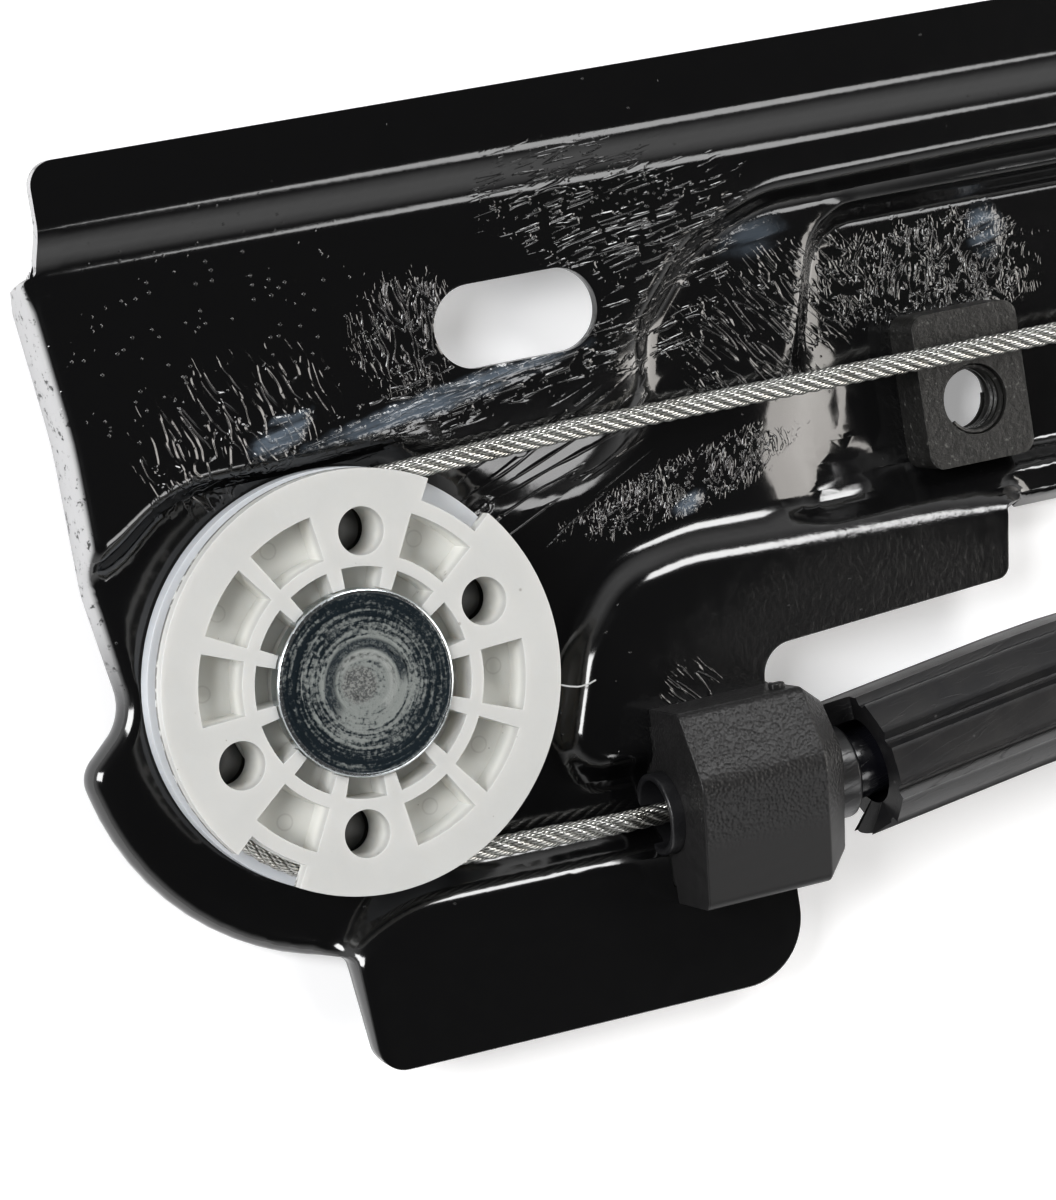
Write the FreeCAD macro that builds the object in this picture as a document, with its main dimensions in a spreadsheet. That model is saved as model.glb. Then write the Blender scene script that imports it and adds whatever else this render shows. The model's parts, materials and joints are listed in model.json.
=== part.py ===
# Single-rail cable window regulator: a pressed guide rail with a cable pulley at each end,
# a carrier that slides along it with the window glass, and a cable drum on two conduits.
#
# Frame: the rail lies on its back. +X runs along the rail, +Y across it towards the flange,
# +Z out of the rail's front face, along the pulley axes. The origin is midway between
# the two fixing slots, on the front face of the web. Lengths are millimetres.
import FreeCAD, Part

import math
import os

import Sketcher
from FreeCAD import Placement, Rotation, Vector

doc = FreeCAD.newDocument("WindowRegulator")

SIZES = {
    # Rail
    "pulley_spacing": 560.0,
    "sheet": 1.2,
    "slot_inset": 23.5,
    "slot_height": 32.0,
    "slot_length": 17.8,
    "slot_width": 8.4,
    "rail_top": 55.2,
    "rail_bottom": 3.4,
    "flange_rise": 3.0,
    "flange_width": 6.6,
    "bend_run": 4.0,
    "ramp_run": 2.4,
    "pulley_ramp_run": 1.3,
    "recess_depth": 2.9,
    "channel_depth": 6.2,
    "skirt_height": 5.6,
    "lobe_gap": 6.65,
    # Pulley
    "pulley_radius": 21.0,
    "pulley_width": 5.9,
    "groove_half": 1.9,
    "groove_floor_half": 1.05,
    "cable_sink": 1.0,
    "bore_radius": 6.0,
    "running_gap": 0.05,
    "side_gap": 0.1,
    "washer": 0.4,
    "pocket_depth": 4.0,
    "pocket_outer": 17.2,
    "ring_outer": 12.7,
    "ring_inner": 11.4,
    "hub_radius": 8.6,
    "pocket_angle": 24.0,
    "inner_pocket_angle": 22.0,
    "first_position": 21.3,
    "finger_hole_radius": 2.4,
    "finger_hole_circle": 14.85,
    "notch_depth": 2.3,
    "notch_angle": 20.0,
    # Pulley pin
    "head_radius": 9.3,
    "head_thickness": 2.0,
    "head_proud": 0.6,
    "shank_radius": 3.5,
    "tail_radius": 6.0,
    "tail_thickness": 1.6,
    # Weld nut
    "nut_inset": 73.8,
    "nut_y": 14.7,
    "nut_side": 12.4,
    "nut_thickness": 5.0,
    "nut_bore": 3.4,
    "nut_mouth": 4.1,
    # Cable, conduit and sleeve
    "cable_radius": 0.9,
    "cable_gap": 0.4,
    "conduit_radius": 3.5,
    "sleeve_radius": 7.4,
    "sleeve_groove": 1.2,
    "sleeve_gap": 0.5,
    "sleeve_start": 52.5,
    "sleeve_length": 107.0,
    # Conduit block
    "block_left": 31.0,
    "block_length": 14.0,
    "block_taper": 3.0,
    "block_top": 10.6,
    "block_bottom": 9.6,
    "block_front": 10.4,
    "block_back": 6.3,
    "block_grip": 1.8,
    "block_seat": 6.0,
    "cap_radius": 4.8,
    "cap_length": 3.2,
    # Drum and its housing
    "drum_y": -77.0,
    "drum_radius": 20.0,
    "drum_flange": 22.5,
    "turn_pitch": 2.2,
    "turns": 4,
    "journal_radius": 9.0,
    "foot_journal": 7.0,
    "drive_radius": 5.0,
    "drive_depth": 12.0,
    "housing_wall": 2.6,
    "drum_gap": 0.7,
    "cover": 2.0,
    "entry_radius": 5.6,
    "entry_reach": 45.0,
    "entry_seat": 8.0,
    "motor_circle": 31.5,
    "bush_radius": 5.0,
    "bush_bore": 3.2,
    "boss_wall": 2.0,
    "screw_circle": 27.5,
    "screw_radius": 1.5,
    # Carrier
    "carrier_length": 68.0,
    "carrier_plate": 2.0,
    "carrier_lift": 5.8,
    "slide_gap": 0.3,
    "slider_wall": 2.2,
    "travel": 160.0,
    "glass_gap": 4.8,
    "pad": 1.6,
    "glass_width": 36.0,
    "nipple_radius": 2.6,
    "nipple_length": 7.0,
    "bolt_radius": 3.0,
    "bolt_head": 5.0,
    "rivet_radius": 2.0,
}

sheet = doc.addObject("Spreadsheet::Sheet", "Sizes")
for row, (name, number) in enumerate(SIZES.items(), start=1):
    sheet.set("A%d" % row, name)
    sheet.set("B%d" % row, str(number))
    sheet.setAlias("B%d" % row, name)
doc.recompute()


class Dim:
    """A size that knows both its number and the sheet expression behind it."""

    def __init__(self, value, text):
        self.value = float(value)
        self.text = text

    def __add__(self, other):
        other = dim(other)
        return Dim(self.value + other.value, "(%s + %s)" % (self.text, other.text))

    def __sub__(self, other):
        other = dim(other)
        return Dim(self.value - other.value, "(%s - %s)" % (self.text, other.text))

    def __mul__(self, other):
        other = dim(other)
        return Dim(self.value * other.value, "(%s * %s)" % (self.text, other.text))

    def __truediv__(self, other):
        other = dim(other)
        return Dim(self.value / other.value, "(%s / %s)" % (self.text, other.text))

    def __neg__(self):
        return Dim(-self.value, "(0 - %s)" % self.text)

    __radd__ = __add__
    __rmul__ = __mul__

    def __rsub__(self, other):
        return dim(other) - self

    def __float__(self):
        return self.value


def dim(value):
    return value if isinstance(value, Dim) else Dim(value, repr(float(value)))


class Sheet:
    """Gives each alias of the sheet as a Dim."""

    def __getattr__(self, name):
        return Dim(sheet.get(name), "Sizes.%s" % name)


S = Sheet()

# Places that several pieces share. Heights count from the front face of the web.
half_spacing = S.pulley_spacing / 2
cable_z = S.side_gap + S.washer - S.recess_depth + S.pulley_width / 2
pulley_back = cable_z - S.pulley_width / 2
pulley_front = pulley_back + S.pulley_width
wrap_radius = S.pulley_radius - S.cable_sink
groove_floor = wrap_radius - S.cable_radius - S.side_gap
axis_y = -S.slot_height
rest_z = -S.channel_depth - S.sheet
cable_top_y = axis_y + wrap_radius
conduit_bore = S.cable_radius + S.cable_gap


def at(x, y, z, turn=0.0):
    """A placement at a point, turned about Z."""
    return Placement(Vector(float(x), float(y), float(z)), Rotation(Vector(0, 0, 1), float(turn)))


def bind(obj, **sizes):
    """Ties properties of an object to expressions on the sheet."""
    for name, size in sizes.items():
        obj.setExpression(name, dim(size).text)


def bind_place(obj, x, y, z):
    for axis, size in zip("xyz", (x, y, z)):
        obj.setExpression("Placement.Base.%s" % axis, dim(size).text)


def rounded(corners, closed=True, z=0.0):
    """A wire through corners (x, y, radius), each corner turned by a tangent arc."""
    points = [Vector(float(c[0]), float(c[1]), float(z)) for c in corners]
    radii = [float(c[2]) if len(c) > 2 else 0.0 for c in corners]
    count = len(points)
    entries, exits, middles = [], [], []
    for i, point in enumerate(points):
        before = points[i - 1] - point
        after = points[(i + 1) % count] - point
        turn = math.pi - before.getAngle(after)
        if radii[i] < 1e-6 or turn < 1e-4 or (not closed and i in (0, count - 1)):
            entries.append(point)
            exits.append(point)
            middles.append(None)
            continue
        reach = radii[i] * math.tan(turn / 2)
        before.normalize()
        after.normalize()
        entries.append(point + before * reach)
        exits.append(point + after * reach)
        towards = before + after
        towards.normalize()
        middles.append(point + towards * (radii[i] / math.cos(turn / 2) - radii[i]))
    edges = []
    for i in range(count):
        if middles[i] is not None:
            edges.append(Part.Arc(entries[i], middles[i], exits[i]).toShape())
        following = (i + 1) % count
        if (closed or i < count - 1) and exits[i].distanceToPoint(entries[following]) > 1e-6:
            edges.append(Part.LineSegment(exits[i], entries[following]).toShape())
    return Part.Wire(edges)


def inset(corners, distances):
    """Moves each side of a counter-clockwise outline inwards by its own distance."""
    count = len(corners)
    lines = []
    for i in range(count):
        start, end = corners[i], corners[(i + 1) % count]
        along = Vector(end[0] - start[0], end[1] - start[1], 0)
        along.normalize()
        inward = Vector(-along.y, along.x, 0)
        lines.append((Vector(start[0], start[1], 0) + inward * distances[i], along, inward))
    moved = []
    for i in range(count):
        before, after = lines[i - 1], lines[i]
        cross = before[1].x * after[1].y - before[1].y * after[1].x
        shift = (distances[i - 1] + distances[i]) / 2
        radius = corners[i][2] - (shift if cross > 0 else -shift) if corners[i][2] else 0.0
        if corners[i][2]:
            radius = max(radius, 0.4)
        if abs(cross) < 1e-6:
            moved.append((after[0].x, after[0].y, radius))
            continue
        gap = after[0] - before[0]
        step = (gap.x * after[1].y - gap.y * after[1].x) / cross
        point = before[0] + before[1] * step
        moved.append((point.x, point.y, radius))
    return moved


def prism(wire, low, high):
    """A closed wire at z = 0 made into a solid between two heights."""
    face = Part.Face(wire)
    face.translate(Vector(0, 0, float(low)))
    return face.extrude(Vector(0, 0, float(high) - float(low)))


def cylinder(radius, low, high, x=0.0, y=0.0):
    return Part.makeCylinder(float(radius), float(high) - float(low), Vector(float(x), float(y), float(low)))


def box(low, high):
    sides = [float(b) - float(a) for a, b in zip(low, high)]
    return Part.makeBox(sides[0], sides[1], sides[2], Vector(*[float(v) for v in low]))


def profile_along_x(corners, x_low, x_high):
    """A (y, z, radius) outline extruded along X."""
    wire = rounded(corners)
    turn = Placement(Vector(0, 0, 0), Rotation(Vector(1, 1, 1), 120))
    wire.Placement = turn
    face = Part.Face(wire)
    face.translate(Vector(float(x_low), 0, 0))
    return face.extrude(Vector(float(x_high) - float(x_low), 0, 0))


def piece(label, shape, place=None):
    """A sub-part whose shape comes straight from the sheet's sizes."""
    obj = doc.addObject("Part::Feature", label)
    obj.Label = label
    obj.Shape = shape
    if place is not None:
        obj.Placement = place
    finished.append(obj)
    return obj


def mirrored(shape):
    return shape.mirror(Vector(0, 0, 0), Vector(1, 0, 0))


def origin_plane(body, role):
    return next(f for f in body.Origin.OriginFeatures if f.Role == role)


def new_body(label):
    body = doc.addObject("PartDesign::Body", label)
    body.Label = label
    finished.append(body)
    return body


def disc(body, kind, name, radius, low, height, angle=None, turn=0.0, x=0.0, y=0.0):
    """An additive or subtractive cylinder, or a sector of one, of a body."""
    feature = body.newObject("PartDesign::%sCylinder" % kind, name)
    feature.AttachmentSupport = [(origin_plane(body, "XY_Plane"), "")]
    feature.MapMode = "FlatFace"
    feature.AttachmentOffset = at(x, y, low, turn)
    feature.setExpression("AttachmentOffset.Base.z", dim(low).text)
    bind(feature, Radius=radius, Height=height)
    if angle is not None:
        bind(feature, Angle=angle)
    return feature


def polar(body, name, features, count):
    pattern = body.newObject("PartDesign::PolarPattern", name)
    pattern.Originals = features
    pattern.Axis = (origin_plane(body, "Z_Axis"), [""])
    pattern.Angle = 360
    pattern.Occurrences = count
    body.Tip = pattern
    return pattern


def revolved(body, name, corners):
    """A ring turned from a (radius, height) outline about Z, each corner tied to the sheet."""
    sketch = body.newObject("Sketcher::SketchObject", name + "Sketch")
    sketch.AttachmentSupport = [(origin_plane(body, "XZ_Plane"), "")]
    sketch.MapMode = "FlatFace"
    tie_outline(sketch, corners)
    turned = body.newObject("PartDesign::Revolution", name)
    turned.Profile = sketch
    turned.ReferenceAxis = (sketch, ["V_Axis"])
    turned.Angle = 360
    return turned


def tie_outline(sketch, corners):
    """Draws a closed outline in a sketch and ties both distances of every corner."""
    points = [Vector(float(u), float(v), 0) for u, v in corners]
    count = len(points)
    for i in range(count):
        sketch.addGeometry(Part.LineSegment(points[i], points[(i + 1) % count]), False)
    for i in range(count):
        sketch.addConstraint(Sketcher.Constraint("Coincident", i, 2, (i + 1) % count, 1))
    for i, (u, v) in enumerate(corners):
        for kind, size in (("DistanceX", dim(u)), ("DistanceY", dim(v))):
            number = sketch.addConstraint(Sketcher.Constraint(kind, -1, 1, i, 1, float(size)))
            sketch.setExpression("Constraints[%d]" % number, size.text)


def padded_outline(body, name, corners, low, height):
    """An outline in the XY plane, padded up from a height."""
    sketch = body.newObject("Sketcher::SketchObject", name + "Sketch")
    sketch.AttachmentSupport = [(origin_plane(body, "XY_Plane"), "")]
    sketch.MapMode = "FlatFace"
    sketch.AttachmentOffset = at(0, 0, low)
    sketch.setExpression("AttachmentOffset.Base.z", dim(low).text)
    tie_outline(sketch, corners)
    pad = body.newObject("PartDesign::Pad", name)
    pad.Profile = sketch
    bind(pad, Length=height)
    return pad


finished = []


# Guide rail. Each end is drawn from its own pulley's axis, X towards the rail's middle.
def end_to_rail(corners):
    """Moves corners from the left pulley's axis to the rail's frame."""
    shift = -half_spacing.value
    return [(c[0] + shift, c[1] + axis_y.value, c[2]) for c in corners]


def both_ends(corners):
    """Joins the corners of the left end, in order, to their mirror image."""
    left = end_to_rail(corners)
    right = [(-x, y, radius) for x, y, radius in reversed(left)]
    return left + right


def counter_clockwise(corners):
    area = sum(corners[i - 1][0] * corners[i][1] - corners[i][0] * corners[i - 1][1]
               for i in range(len(corners)))
    return corners if area > 0 else list(reversed(corners))


BLOCK_RIGHT = S.block_left + S.block_length
BRACKET_RIGHT = BLOCK_RIGHT.value - 0.6
LOBE = S.pulley_radius + S.lobe_gap


def lobe_corner():
    """The corner whose fillet is the round lobe about the pulley's axis."""
    reach = LOBE.value / math.cos(math.radians(33.3))
    angle = math.radians(226.3)
    return (reach * math.cos(angle), reach * math.sin(angle), LOBE.value)


top = S.rail_top.value
low = S.rail_bottom.value
ledge = top - S.flange_width.value - S.bend_run.value - 0.2
END_OUTLINE = [
    (-24.9, top, 2.5),
    (-24.9, ledge, 0.3),
    (-26.5, ledge, 1.1),
    (-24.5, 28.0, 40.0),
    (-24.2, 13.0, 12.0),
    (-22.1, 0.6, 5.0),
    (-27.4, -4.3, 3.0),
    lobe_corner(),
    (-4.2, -27.4, 1.0),
    (-3.4, -39.4, 3.0),
    (BRACKET_RIGHT, -39.9, 7.0),
    (BRACKET_RIGHT, -5.9, 3.5),
    (74.0, -4.1, 1.5),
    (75.2, low, 0.8),
    (79.0, low, 0.0),
]
rail_outline = counter_clockwise(both_ends(END_OUTLINE))

RECESS_CREST = [
    (-45.0, 15.2, 0.0),
    (-23.0, 16.6, 12.0),
    (-14.5, 22.2, 14.0),
    (10.0, 22.7, 30.0),
    (31.2, 23.4, 10.0),
    (43.5, 37.0, 12.0),
    (53.0, 40.4, 14.0),
    (80.0, 40.8, 60.0),
]
RECESS_FOOT = [
    (79.0, -8.0, 1.0),
    (76.4, 3.2, 1.6),
    (39.2, 4.4, 20.0),
    (31.2, 3.4, 8.0),
    (26.0, -3.0, 9.0),
    (22.4, -13.9, 3.0),
    (52.0, -14.4, 0.0),
    (52.0, -24.4, 0.0),
    (1.5, -23.4, 12.0),
    (-8.0, -31.0, 4.0),
    (-45.0, -45.0, 0.0),
]
CHANNEL_END = [
    (84.0, 38.6, 60.0),
    (58.0, 38.6, 9.0),
    (50.2, 12.5, 7.0),
    (52.5, 4.9, 4.5),
    (84.0, 4.9, 60.0),
]


def pan(corners, depth, runs):
    """A drawn pan with sloping walls: the front it cuts away and the sheet it pushes out."""
    thick = S.sheet.value
    floor = inset(corners, runs)
    shifts = [-thick * math.tan(math.atan2(depth, run) / 2) for run in runs]
    outer_top = inset(corners, shifts)
    outer_floor = inset(floor, shifts)
    hollow = Part.makeLoft([rounded(corners, z=0), rounded(floor, z=-depth)], True, True)
    hollow = hollow.fuse(prism(rounded(corners), 0, 2.0))
    pushed = Part.makeLoft([rounded(outer_top, z=-thick), rounded(outer_floor, z=-depth - thick)], True, True)
    return hollow, pushed


def flange_section():
    """The rail's section across the web, the bend and the raised flange."""
    thick, rise, run = S.sheet.value, S.flange_rise.value, S.bend_run.value
    foot = top - S.flange_width.value - run + axis_y.value
    back = thick * math.tan(math.atan2(rise, run) / 2)
    bend = 1.8
    edge = top + 5 + axis_y.value
    start = -60 + axis_y.value
    return [
        (start, -thick, 0), (foot + back, -thick, bend + thick), (foot + run + back, rise - thick, bend),
        (edge, rise - thick, 0), (edge, rise, 0), (foot + run, rise, bend + thick), (foot, 0, bend),
        (start, 0, 0),
    ]


def make_rail():
    reach = half_spacing.value + 60
    outline = rounded(rail_outline)
    blank = prism(outline, -20, 20)
    band = profile_along_x(flange_section(), -reach, reach)
    rail = band.common(blank)

    # The skirt turns back along each end and round its lobe, and a short lip along the lower edge.
    inner = outline.makeOffset2D(-S.sheet.value)
    ring = prism(outline, -S.skirt_height, 0).cut(prism(inner, -20, 20))
    for side in (-1, 1):
        near = side * (half_spacing.value + 60)
        far = side * (half_spacing.value + 4.6)
        band_box = box((min(near, far), axis_y.value - 32, -20), (max(near, far), axis_y.value + ledge, 5))
        rail = rail.fuse(ring.common(band_box))
    lip_y = low + axis_y.value
    floor, thick = -S.recess_depth.value, S.sheet.value
    flare = 1.3
    lip = profile_along_x([
        (lip_y + 3, floor, 0), (lip_y, floor, 1.0), (lip_y - flare, -S.skirt_height.value, 0),
        (lip_y - flare + thick, -S.skirt_height.value, 0), (lip_y + thick, floor - thick, 0),
        (lip_y + 3, floor - thick, 0),
    ], -half_spacing.value + 78, half_spacing.value - 78)

    recess = both_ends(RECESS_CREST)
    foot = end_to_rail(RECESS_FOOT)
    foot_right = [(-x, y, r) for x, y, r in reversed(foot)]
    recess_corners = counter_clockwise(recess + foot_right + foot)
    runs = [S.ramp_run.value] * len(recess_corners)
    for i, corner in enumerate(recess_corners):
        following = recess_corners[(i + 1) % len(recess_corners)]
        ends = sorted((abs(corner[0]), abs(following[0])))
        finger = half_spacing.value - 77 < ends[0] and ends[1] < half_spacing.value - 25
        if finger and -1 < corner[1] - axis_y.value < 5 and -1 < following[1] - axis_y.value < 5:
            runs[i] = 3.4
        over_pulley = ends[1] < half_spacing.value + 16 and half_spacing.value - 32 < ends[0]
        if over_pulley and corner[1] > axis_y.value + 20 and following[1] > axis_y.value + 20:
            runs[i] = S.pulley_ramp_run.value
    hollow, pushed = pan(recess_corners, S.recess_depth.value, runs)
    channel_corners = counter_clockwise(both_ends(CHANNEL_END))
    deep_hollow, deep_pushed = pan(channel_corners, S.channel_depth.value, [3.4] * len(channel_corners))
    rail = rail.fuse([pushed.common(blank), deep_pushed.common(blank)])
    rail = rail.fuse(lip)
    rail = rail.cut(hollow).cut(deep_hollow)

    for side in (-1, 1):
        slot_x = side * (half_spacing.value - S.slot_inset.value)
        half = (S.slot_length.value - S.slot_width.value) / 2
        for shift in (-half, half):
            rail = rail.cut(cylinder(S.slot_width / 2, -20, 5, slot_x + shift, 0))
        rail = rail.cut(box((slot_x - half, -S.slot_width.value / 2, -20), (slot_x + half, S.slot_width.value / 2, 5)))
        rail = rail.cut(cylinder(S.shank_radius, -20, 5, side * half_spacing.value, axis_y.value))
        nut_x = side * (half_spacing.value - S.nut_inset.value)
        rail = rail.cut(cylinder(S.nut_bore + 0.8, -20, 5, nut_x, axis_y.value + S.nut_y.value))
        mouth = sorted((side * (half_spacing.value - S.block_left.value + 0.2),
                        side * (half_spacing.value - 60)))
        rail = rail.cut(box((mouth[0], block_low + S.block_grip.value, -20),
                            (mouth[1], block_high - S.block_grip.value, 5)))
    return rail


block_low = (axis_y - wrap_radius - S.block_bottom).value
block_high = (axis_y - wrap_radius + S.block_top).value
piece("guide_rail", make_rail().removeSplitter())


# Pulleys: white nylon, moulded with pockets, turning on the pins. The rim notches come first,
# so that what refills the face inside them leaves the pockets open.
def wheel(label, side):
    body = new_body(label)
    front, back = pulley_front, pulley_back
    bore = S.bore_radius + S.running_gap
    revolved(body, "Wheel", [
        (bore, back), (S.pulley_radius, back), (S.pulley_radius, cable_z - S.groove_half),
        (groove_floor, cable_z - S.groove_floor_half), (groove_floor, cable_z + S.groove_floor_half),
        (S.pulley_radius, cable_z + S.groove_half), (S.pulley_radius, front), (bore, front),
    ])
    first, step = S.first_position.value, 30.0
    notch_low = cable_z + S.groove_half * 0.75
    notch = disc(body, "Subtractive", "Notch", S.pulley_radius + 1, notch_low, S.pulley_width,
                 S.notch_angle, first + step - S.notch_angle.value / 2)
    polar(body, "Notches", [notch], 2)
    disc(body, "Additive", "Face", S.pulley_radius - S.notch_depth, notch_low, front - notch_low)
    floor = front - S.pocket_depth
    half = S.pocket_angle.value / 2
    sectors = [disc(body, "Subtractive", "Pocket%d" % k, S.pocket_outer, floor, S.pocket_depth,
                    S.pocket_angle, first + step * k - half) for k in (1, 3, 4, 5)]
    polar(body, "Pockets", sectors, 2)
    disc(body, "Additive", "Ring", S.ring_outer, floor, S.pocket_depth)
    inner = disc(body, "Subtractive", "InnerPocket", S.ring_inner, floor, S.pocket_depth,
                 S.inner_pocket_angle, first - S.inner_pocket_angle.value / 2)
    polar(body, "InnerPockets", [inner], 12)
    disc(body, "Additive", "Hub", S.hub_radius, floor, S.pocket_depth)
    well = S.head_thickness - S.head_proud + S.side_gap
    disc(body, "Subtractive", "HeadWell", S.head_radius + S.side_gap, front - well, well + 1)
    disc(body, "Subtractive", "Bore", bore, back - 1, S.pulley_width + 2)
    circle = S.finger_hole_circle.value
    holes = []
    for k in (0, 2):
        angle = math.radians(first + step * k)
        holes.append(disc(body, "Subtractive", "Hole%d" % k, S.finger_hole_radius, back - 1,
                          S.pulley_width + 2, x=circle * math.cos(angle), y=circle * math.sin(angle)))
    polar(body, "Holes", holes, 2)
    bind_place(body, half_spacing * side, axis_y, 0)
    return body


for side, name in ((-1, "left"), (1, "right")):
    wheel(name + "_pulley", side)


# Pulley pins: cold-headed, with a broad head in front, a journal and a riveted tail.
recess_z = -S.recess_depth
head_front = pulley_front + S.head_proud
for side, name in ((-1, "left"), (1, "right")):
    body = new_body(name + "_pulley_pin")
    head_back = head_front - S.head_thickness
    tail_top = recess_z - S.sheet
    revolved(body, "Pin", [
        (0, tail_top - S.tail_thickness), (S.tail_radius, tail_top - S.tail_thickness),
        (S.tail_radius, tail_top), (S.shank_radius, tail_top), (S.shank_radius, recess_z),
        (S.bore_radius, recess_z), (S.bore_radius, head_back), (S.head_radius, head_back),
        (S.head_radius, head_front), (0, head_front),
    ])
    bind_place(body, half_spacing * side, axis_y, 0)

    body = new_body(name + "_washer")
    disc(body, "Additive", "Disc", S.ring_outer, recess_z, S.washer)
    disc(body, "Subtractive", "Bore", S.bore_radius + S.running_gap, recess_z - 1, S.washer + 2)
    bind_place(body, half_spacing * side, axis_y, 0)


# Weld nuts: square, in the deep channel, with a chamfered mouth.
for side, name in ((-1, "left"), (1, "right")):
    body = new_body(name + "_weld_nut")
    half, cut = S.nut_side / 2, S.nut_side * 0.08
    floor = -S.channel_depth
    padded_outline(body, "Block", [
        (-half, cut - half), (cut - half, -half), (half - cut, -half), (half, cut - half),
        (half, half - cut), (half - cut, half), (cut - half, half), (-half, half - cut),
    ], floor, S.nut_thickness)
    disc(body, "Subtractive", "Thread", S.nut_bore, floor - 1, S.nut_thickness + 2)
    mouth = body.newObject("PartDesign::SubtractiveCone", "Mouth")
    mouth.AttachmentSupport = [(origin_plane(body, "XY_Plane"), "")]
    mouth.MapMode = "FlatFace"
    depth = S.nut_mouth - S.nut_bore
    mouth.setExpression("AttachmentOffset.Base.z", (floor + S.nut_thickness - depth).text)
    bind(mouth, Radius1=S.nut_bore, Radius2=S.nut_mouth, Height=depth)
    bind_place(body, (half_spacing - S.nut_inset) * side, axis_y + S.nut_y, 0)


# Conduit route, drawn for the left end in the rail's frame and mirrored for the right one.
drum_axis_y = (axis_y + S.drum_y).value
strand_y = (axis_y - wrap_radius).value
line_y = drum_axis_y + S.drum_radius.value
block_x = (S.block_left - half_spacing).value
block_end_x = block_x + S.block_length.value + S.block_taper.value
entry_x = -S.entry_reach.value
seat_x = entry_x + S.entry_seat.value
conduit_start_x = block_end_x - S.block_seat.value

ROUTE_FIRST = (block_end_x + 2.5, strand_y)
ROUTE_LAST = (entry_x - 32.0, line_y)
ROUTE_SHARES = [(0.259, -0.146), (0.5475, 0.081), (0.797, 0.716)]


def conduit_route():
    """Corners of the conduit's centre line, each with an arc as large as its runs allow."""
    points = [(conduit_start_x, strand_y), ROUTE_FIRST]
    for along, down in ROUTE_SHARES:
        points.append((ROUTE_FIRST[0] + along * (ROUTE_LAST[0] - ROUTE_FIRST[0]),
                       ROUTE_FIRST[1] + down * (ROUTE_LAST[1] - ROUTE_FIRST[1])))
    points += [ROUTE_LAST, (seat_x, line_y)]
    corners = [points[0] + (0.0,), points[1] + (30.0,)]
    for before, point, after in zip(points[1:], points[2:], points[3:]):
        turn = abs(math.atan2(after[1] - point[1], after[0] - point[0])
                   - math.atan2(point[1] - before[1], point[0] - before[0]))
        run = min(math.dist(before, point), math.dist(point, after))
        corners.append(point + (0.45 * run / math.tan(turn / 2),))
    return corners + [points[-1] + (0.0,)]


def stretch(path, start, end):
    """The part of a path that lies between two distances along it."""
    edges, passed = [], 0.0
    for edge in path.Edges:
        low_end, high_end = max(start - passed, 0.0), min(end - passed, edge.Length)
        if high_end - low_end > 1e-4:
            first, last = edge.getParameterByLength(low_end), edge.getParameterByLength(high_end)
            edges.append(edge.Curve.toShape(first, last))
        passed += edge.Length
    return Part.Wire(edges)


def swept(outline, path):
    """A closed outline swept along a path, checked against section times length."""
    solid = path.makePipeShell([outline], True, False)
    area = Part.Face(outline).Area
    if abs(solid.Volume / (area * path.Length) - 1) > 0.02:
        raise RuntimeError("a sweep has lost its section")
    return solid


def ring(radius, x, y):
    """A circle about the cable's line, facing along X."""
    return Part.Wire([Part.Circle(Vector(x, y, cable_z.value), Vector(1, 0, 0), float(radius)).toShape()])


def many_sided(sides, radius, x, y):
    """A regular polygon about the cable's line, facing along X, which keeps the long tubes light."""
    turns = [2 * math.pi * k / sides for k in range(sides)]
    points = [Vector(x, y + float(radius) * math.cos(a), cable_z.value + float(radius) * math.sin(a)) for a in turns]
    return Part.makePolygon(points + points[:1])


CABLE_SIDES = 6
CONDUIT_SIDES = 12


route = conduit_route()
print("conduit corner radii", [round(corner[2], 1) for corner in route[1:-1]])
conduit_path = rounded(route, closed=False, z=cable_z)
conduit = swept(many_sided(CONDUIT_SIDES, S.conduit_radius, conduit_start_x, strand_y), conduit_path)
conduit = conduit.cut(swept(many_sided(CABLE_SIDES, conduit_bore, conduit_start_x, strand_y), conduit_path))

# The cable runs from the middle of the rail round the pulley and through the conduit to the drum.
left_axis = -half_spacing.value
wrap = wrap_radius.value
drum_clear_x = -math.sqrt(S.drum_radius.value ** 2 - (S.drum_radius - S.cable_radius * 2.4).value ** 2)
height = cable_z.value
run_edges = [
    Part.LineSegment(Vector(0, cable_top_y.value, height), Vector(left_axis, cable_top_y.value, height)).toShape(),
    Part.Arc(Vector(left_axis, cable_top_y.value, height), Vector(left_axis - wrap, axis_y.value, height),
             Vector(left_axis, strand_y, height)).toShape(),
]
tail = [(left_axis, strand_y, 0.0)] + route[1:-1] + [(drum_clear_x, line_y, 0.0)]
cable_path = Part.Wire(run_edges + rounded(tail, closed=False, z=height).Edges)
cable = swept(many_sided(CABLE_SIDES, S.cable_radius, 0, cable_top_y.value), cable_path)


# Fluted sleeve: a soft extrusion over the conduit, with lands and grooves along it.
FLUTES = 8


def flute_outline(x, y):
    """Lands joined by shallow grooves, drawn across the conduit where the sleeve begins."""
    outer, inner = S.sleeve_radius.value, (S.sleeve_radius - S.sleeve_groove).value
    step = 2 * math.pi / FLUTES
    points = []
    for k in range(FLUTES):
        for share, radius in ((-0.29, outer), (0.29, outer), (0.38, inner), (0.62, inner)):
            angle = step * (k + share)
            points.append(Vector(x, y + radius * math.cos(angle), height + radius * math.sin(angle)))
    return Part.makePolygon(points + points[:1])


sleeve_x = (S.sleeve_start - half_spacing).value
sleeve_from = sleeve_x - conduit_start_x
sleeve_path = stretch(conduit_path, sleeve_from, sleeve_from + S.sleeve_length.value)
first_edge = sleeve_path.Edges[0]
start = first_edge.valueAt(first_edge.FirstParameter)
along = first_edge.tangentAt(first_edge.FirstParameter)
heading = math.degrees(math.atan2(along.y, along.x))


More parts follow.
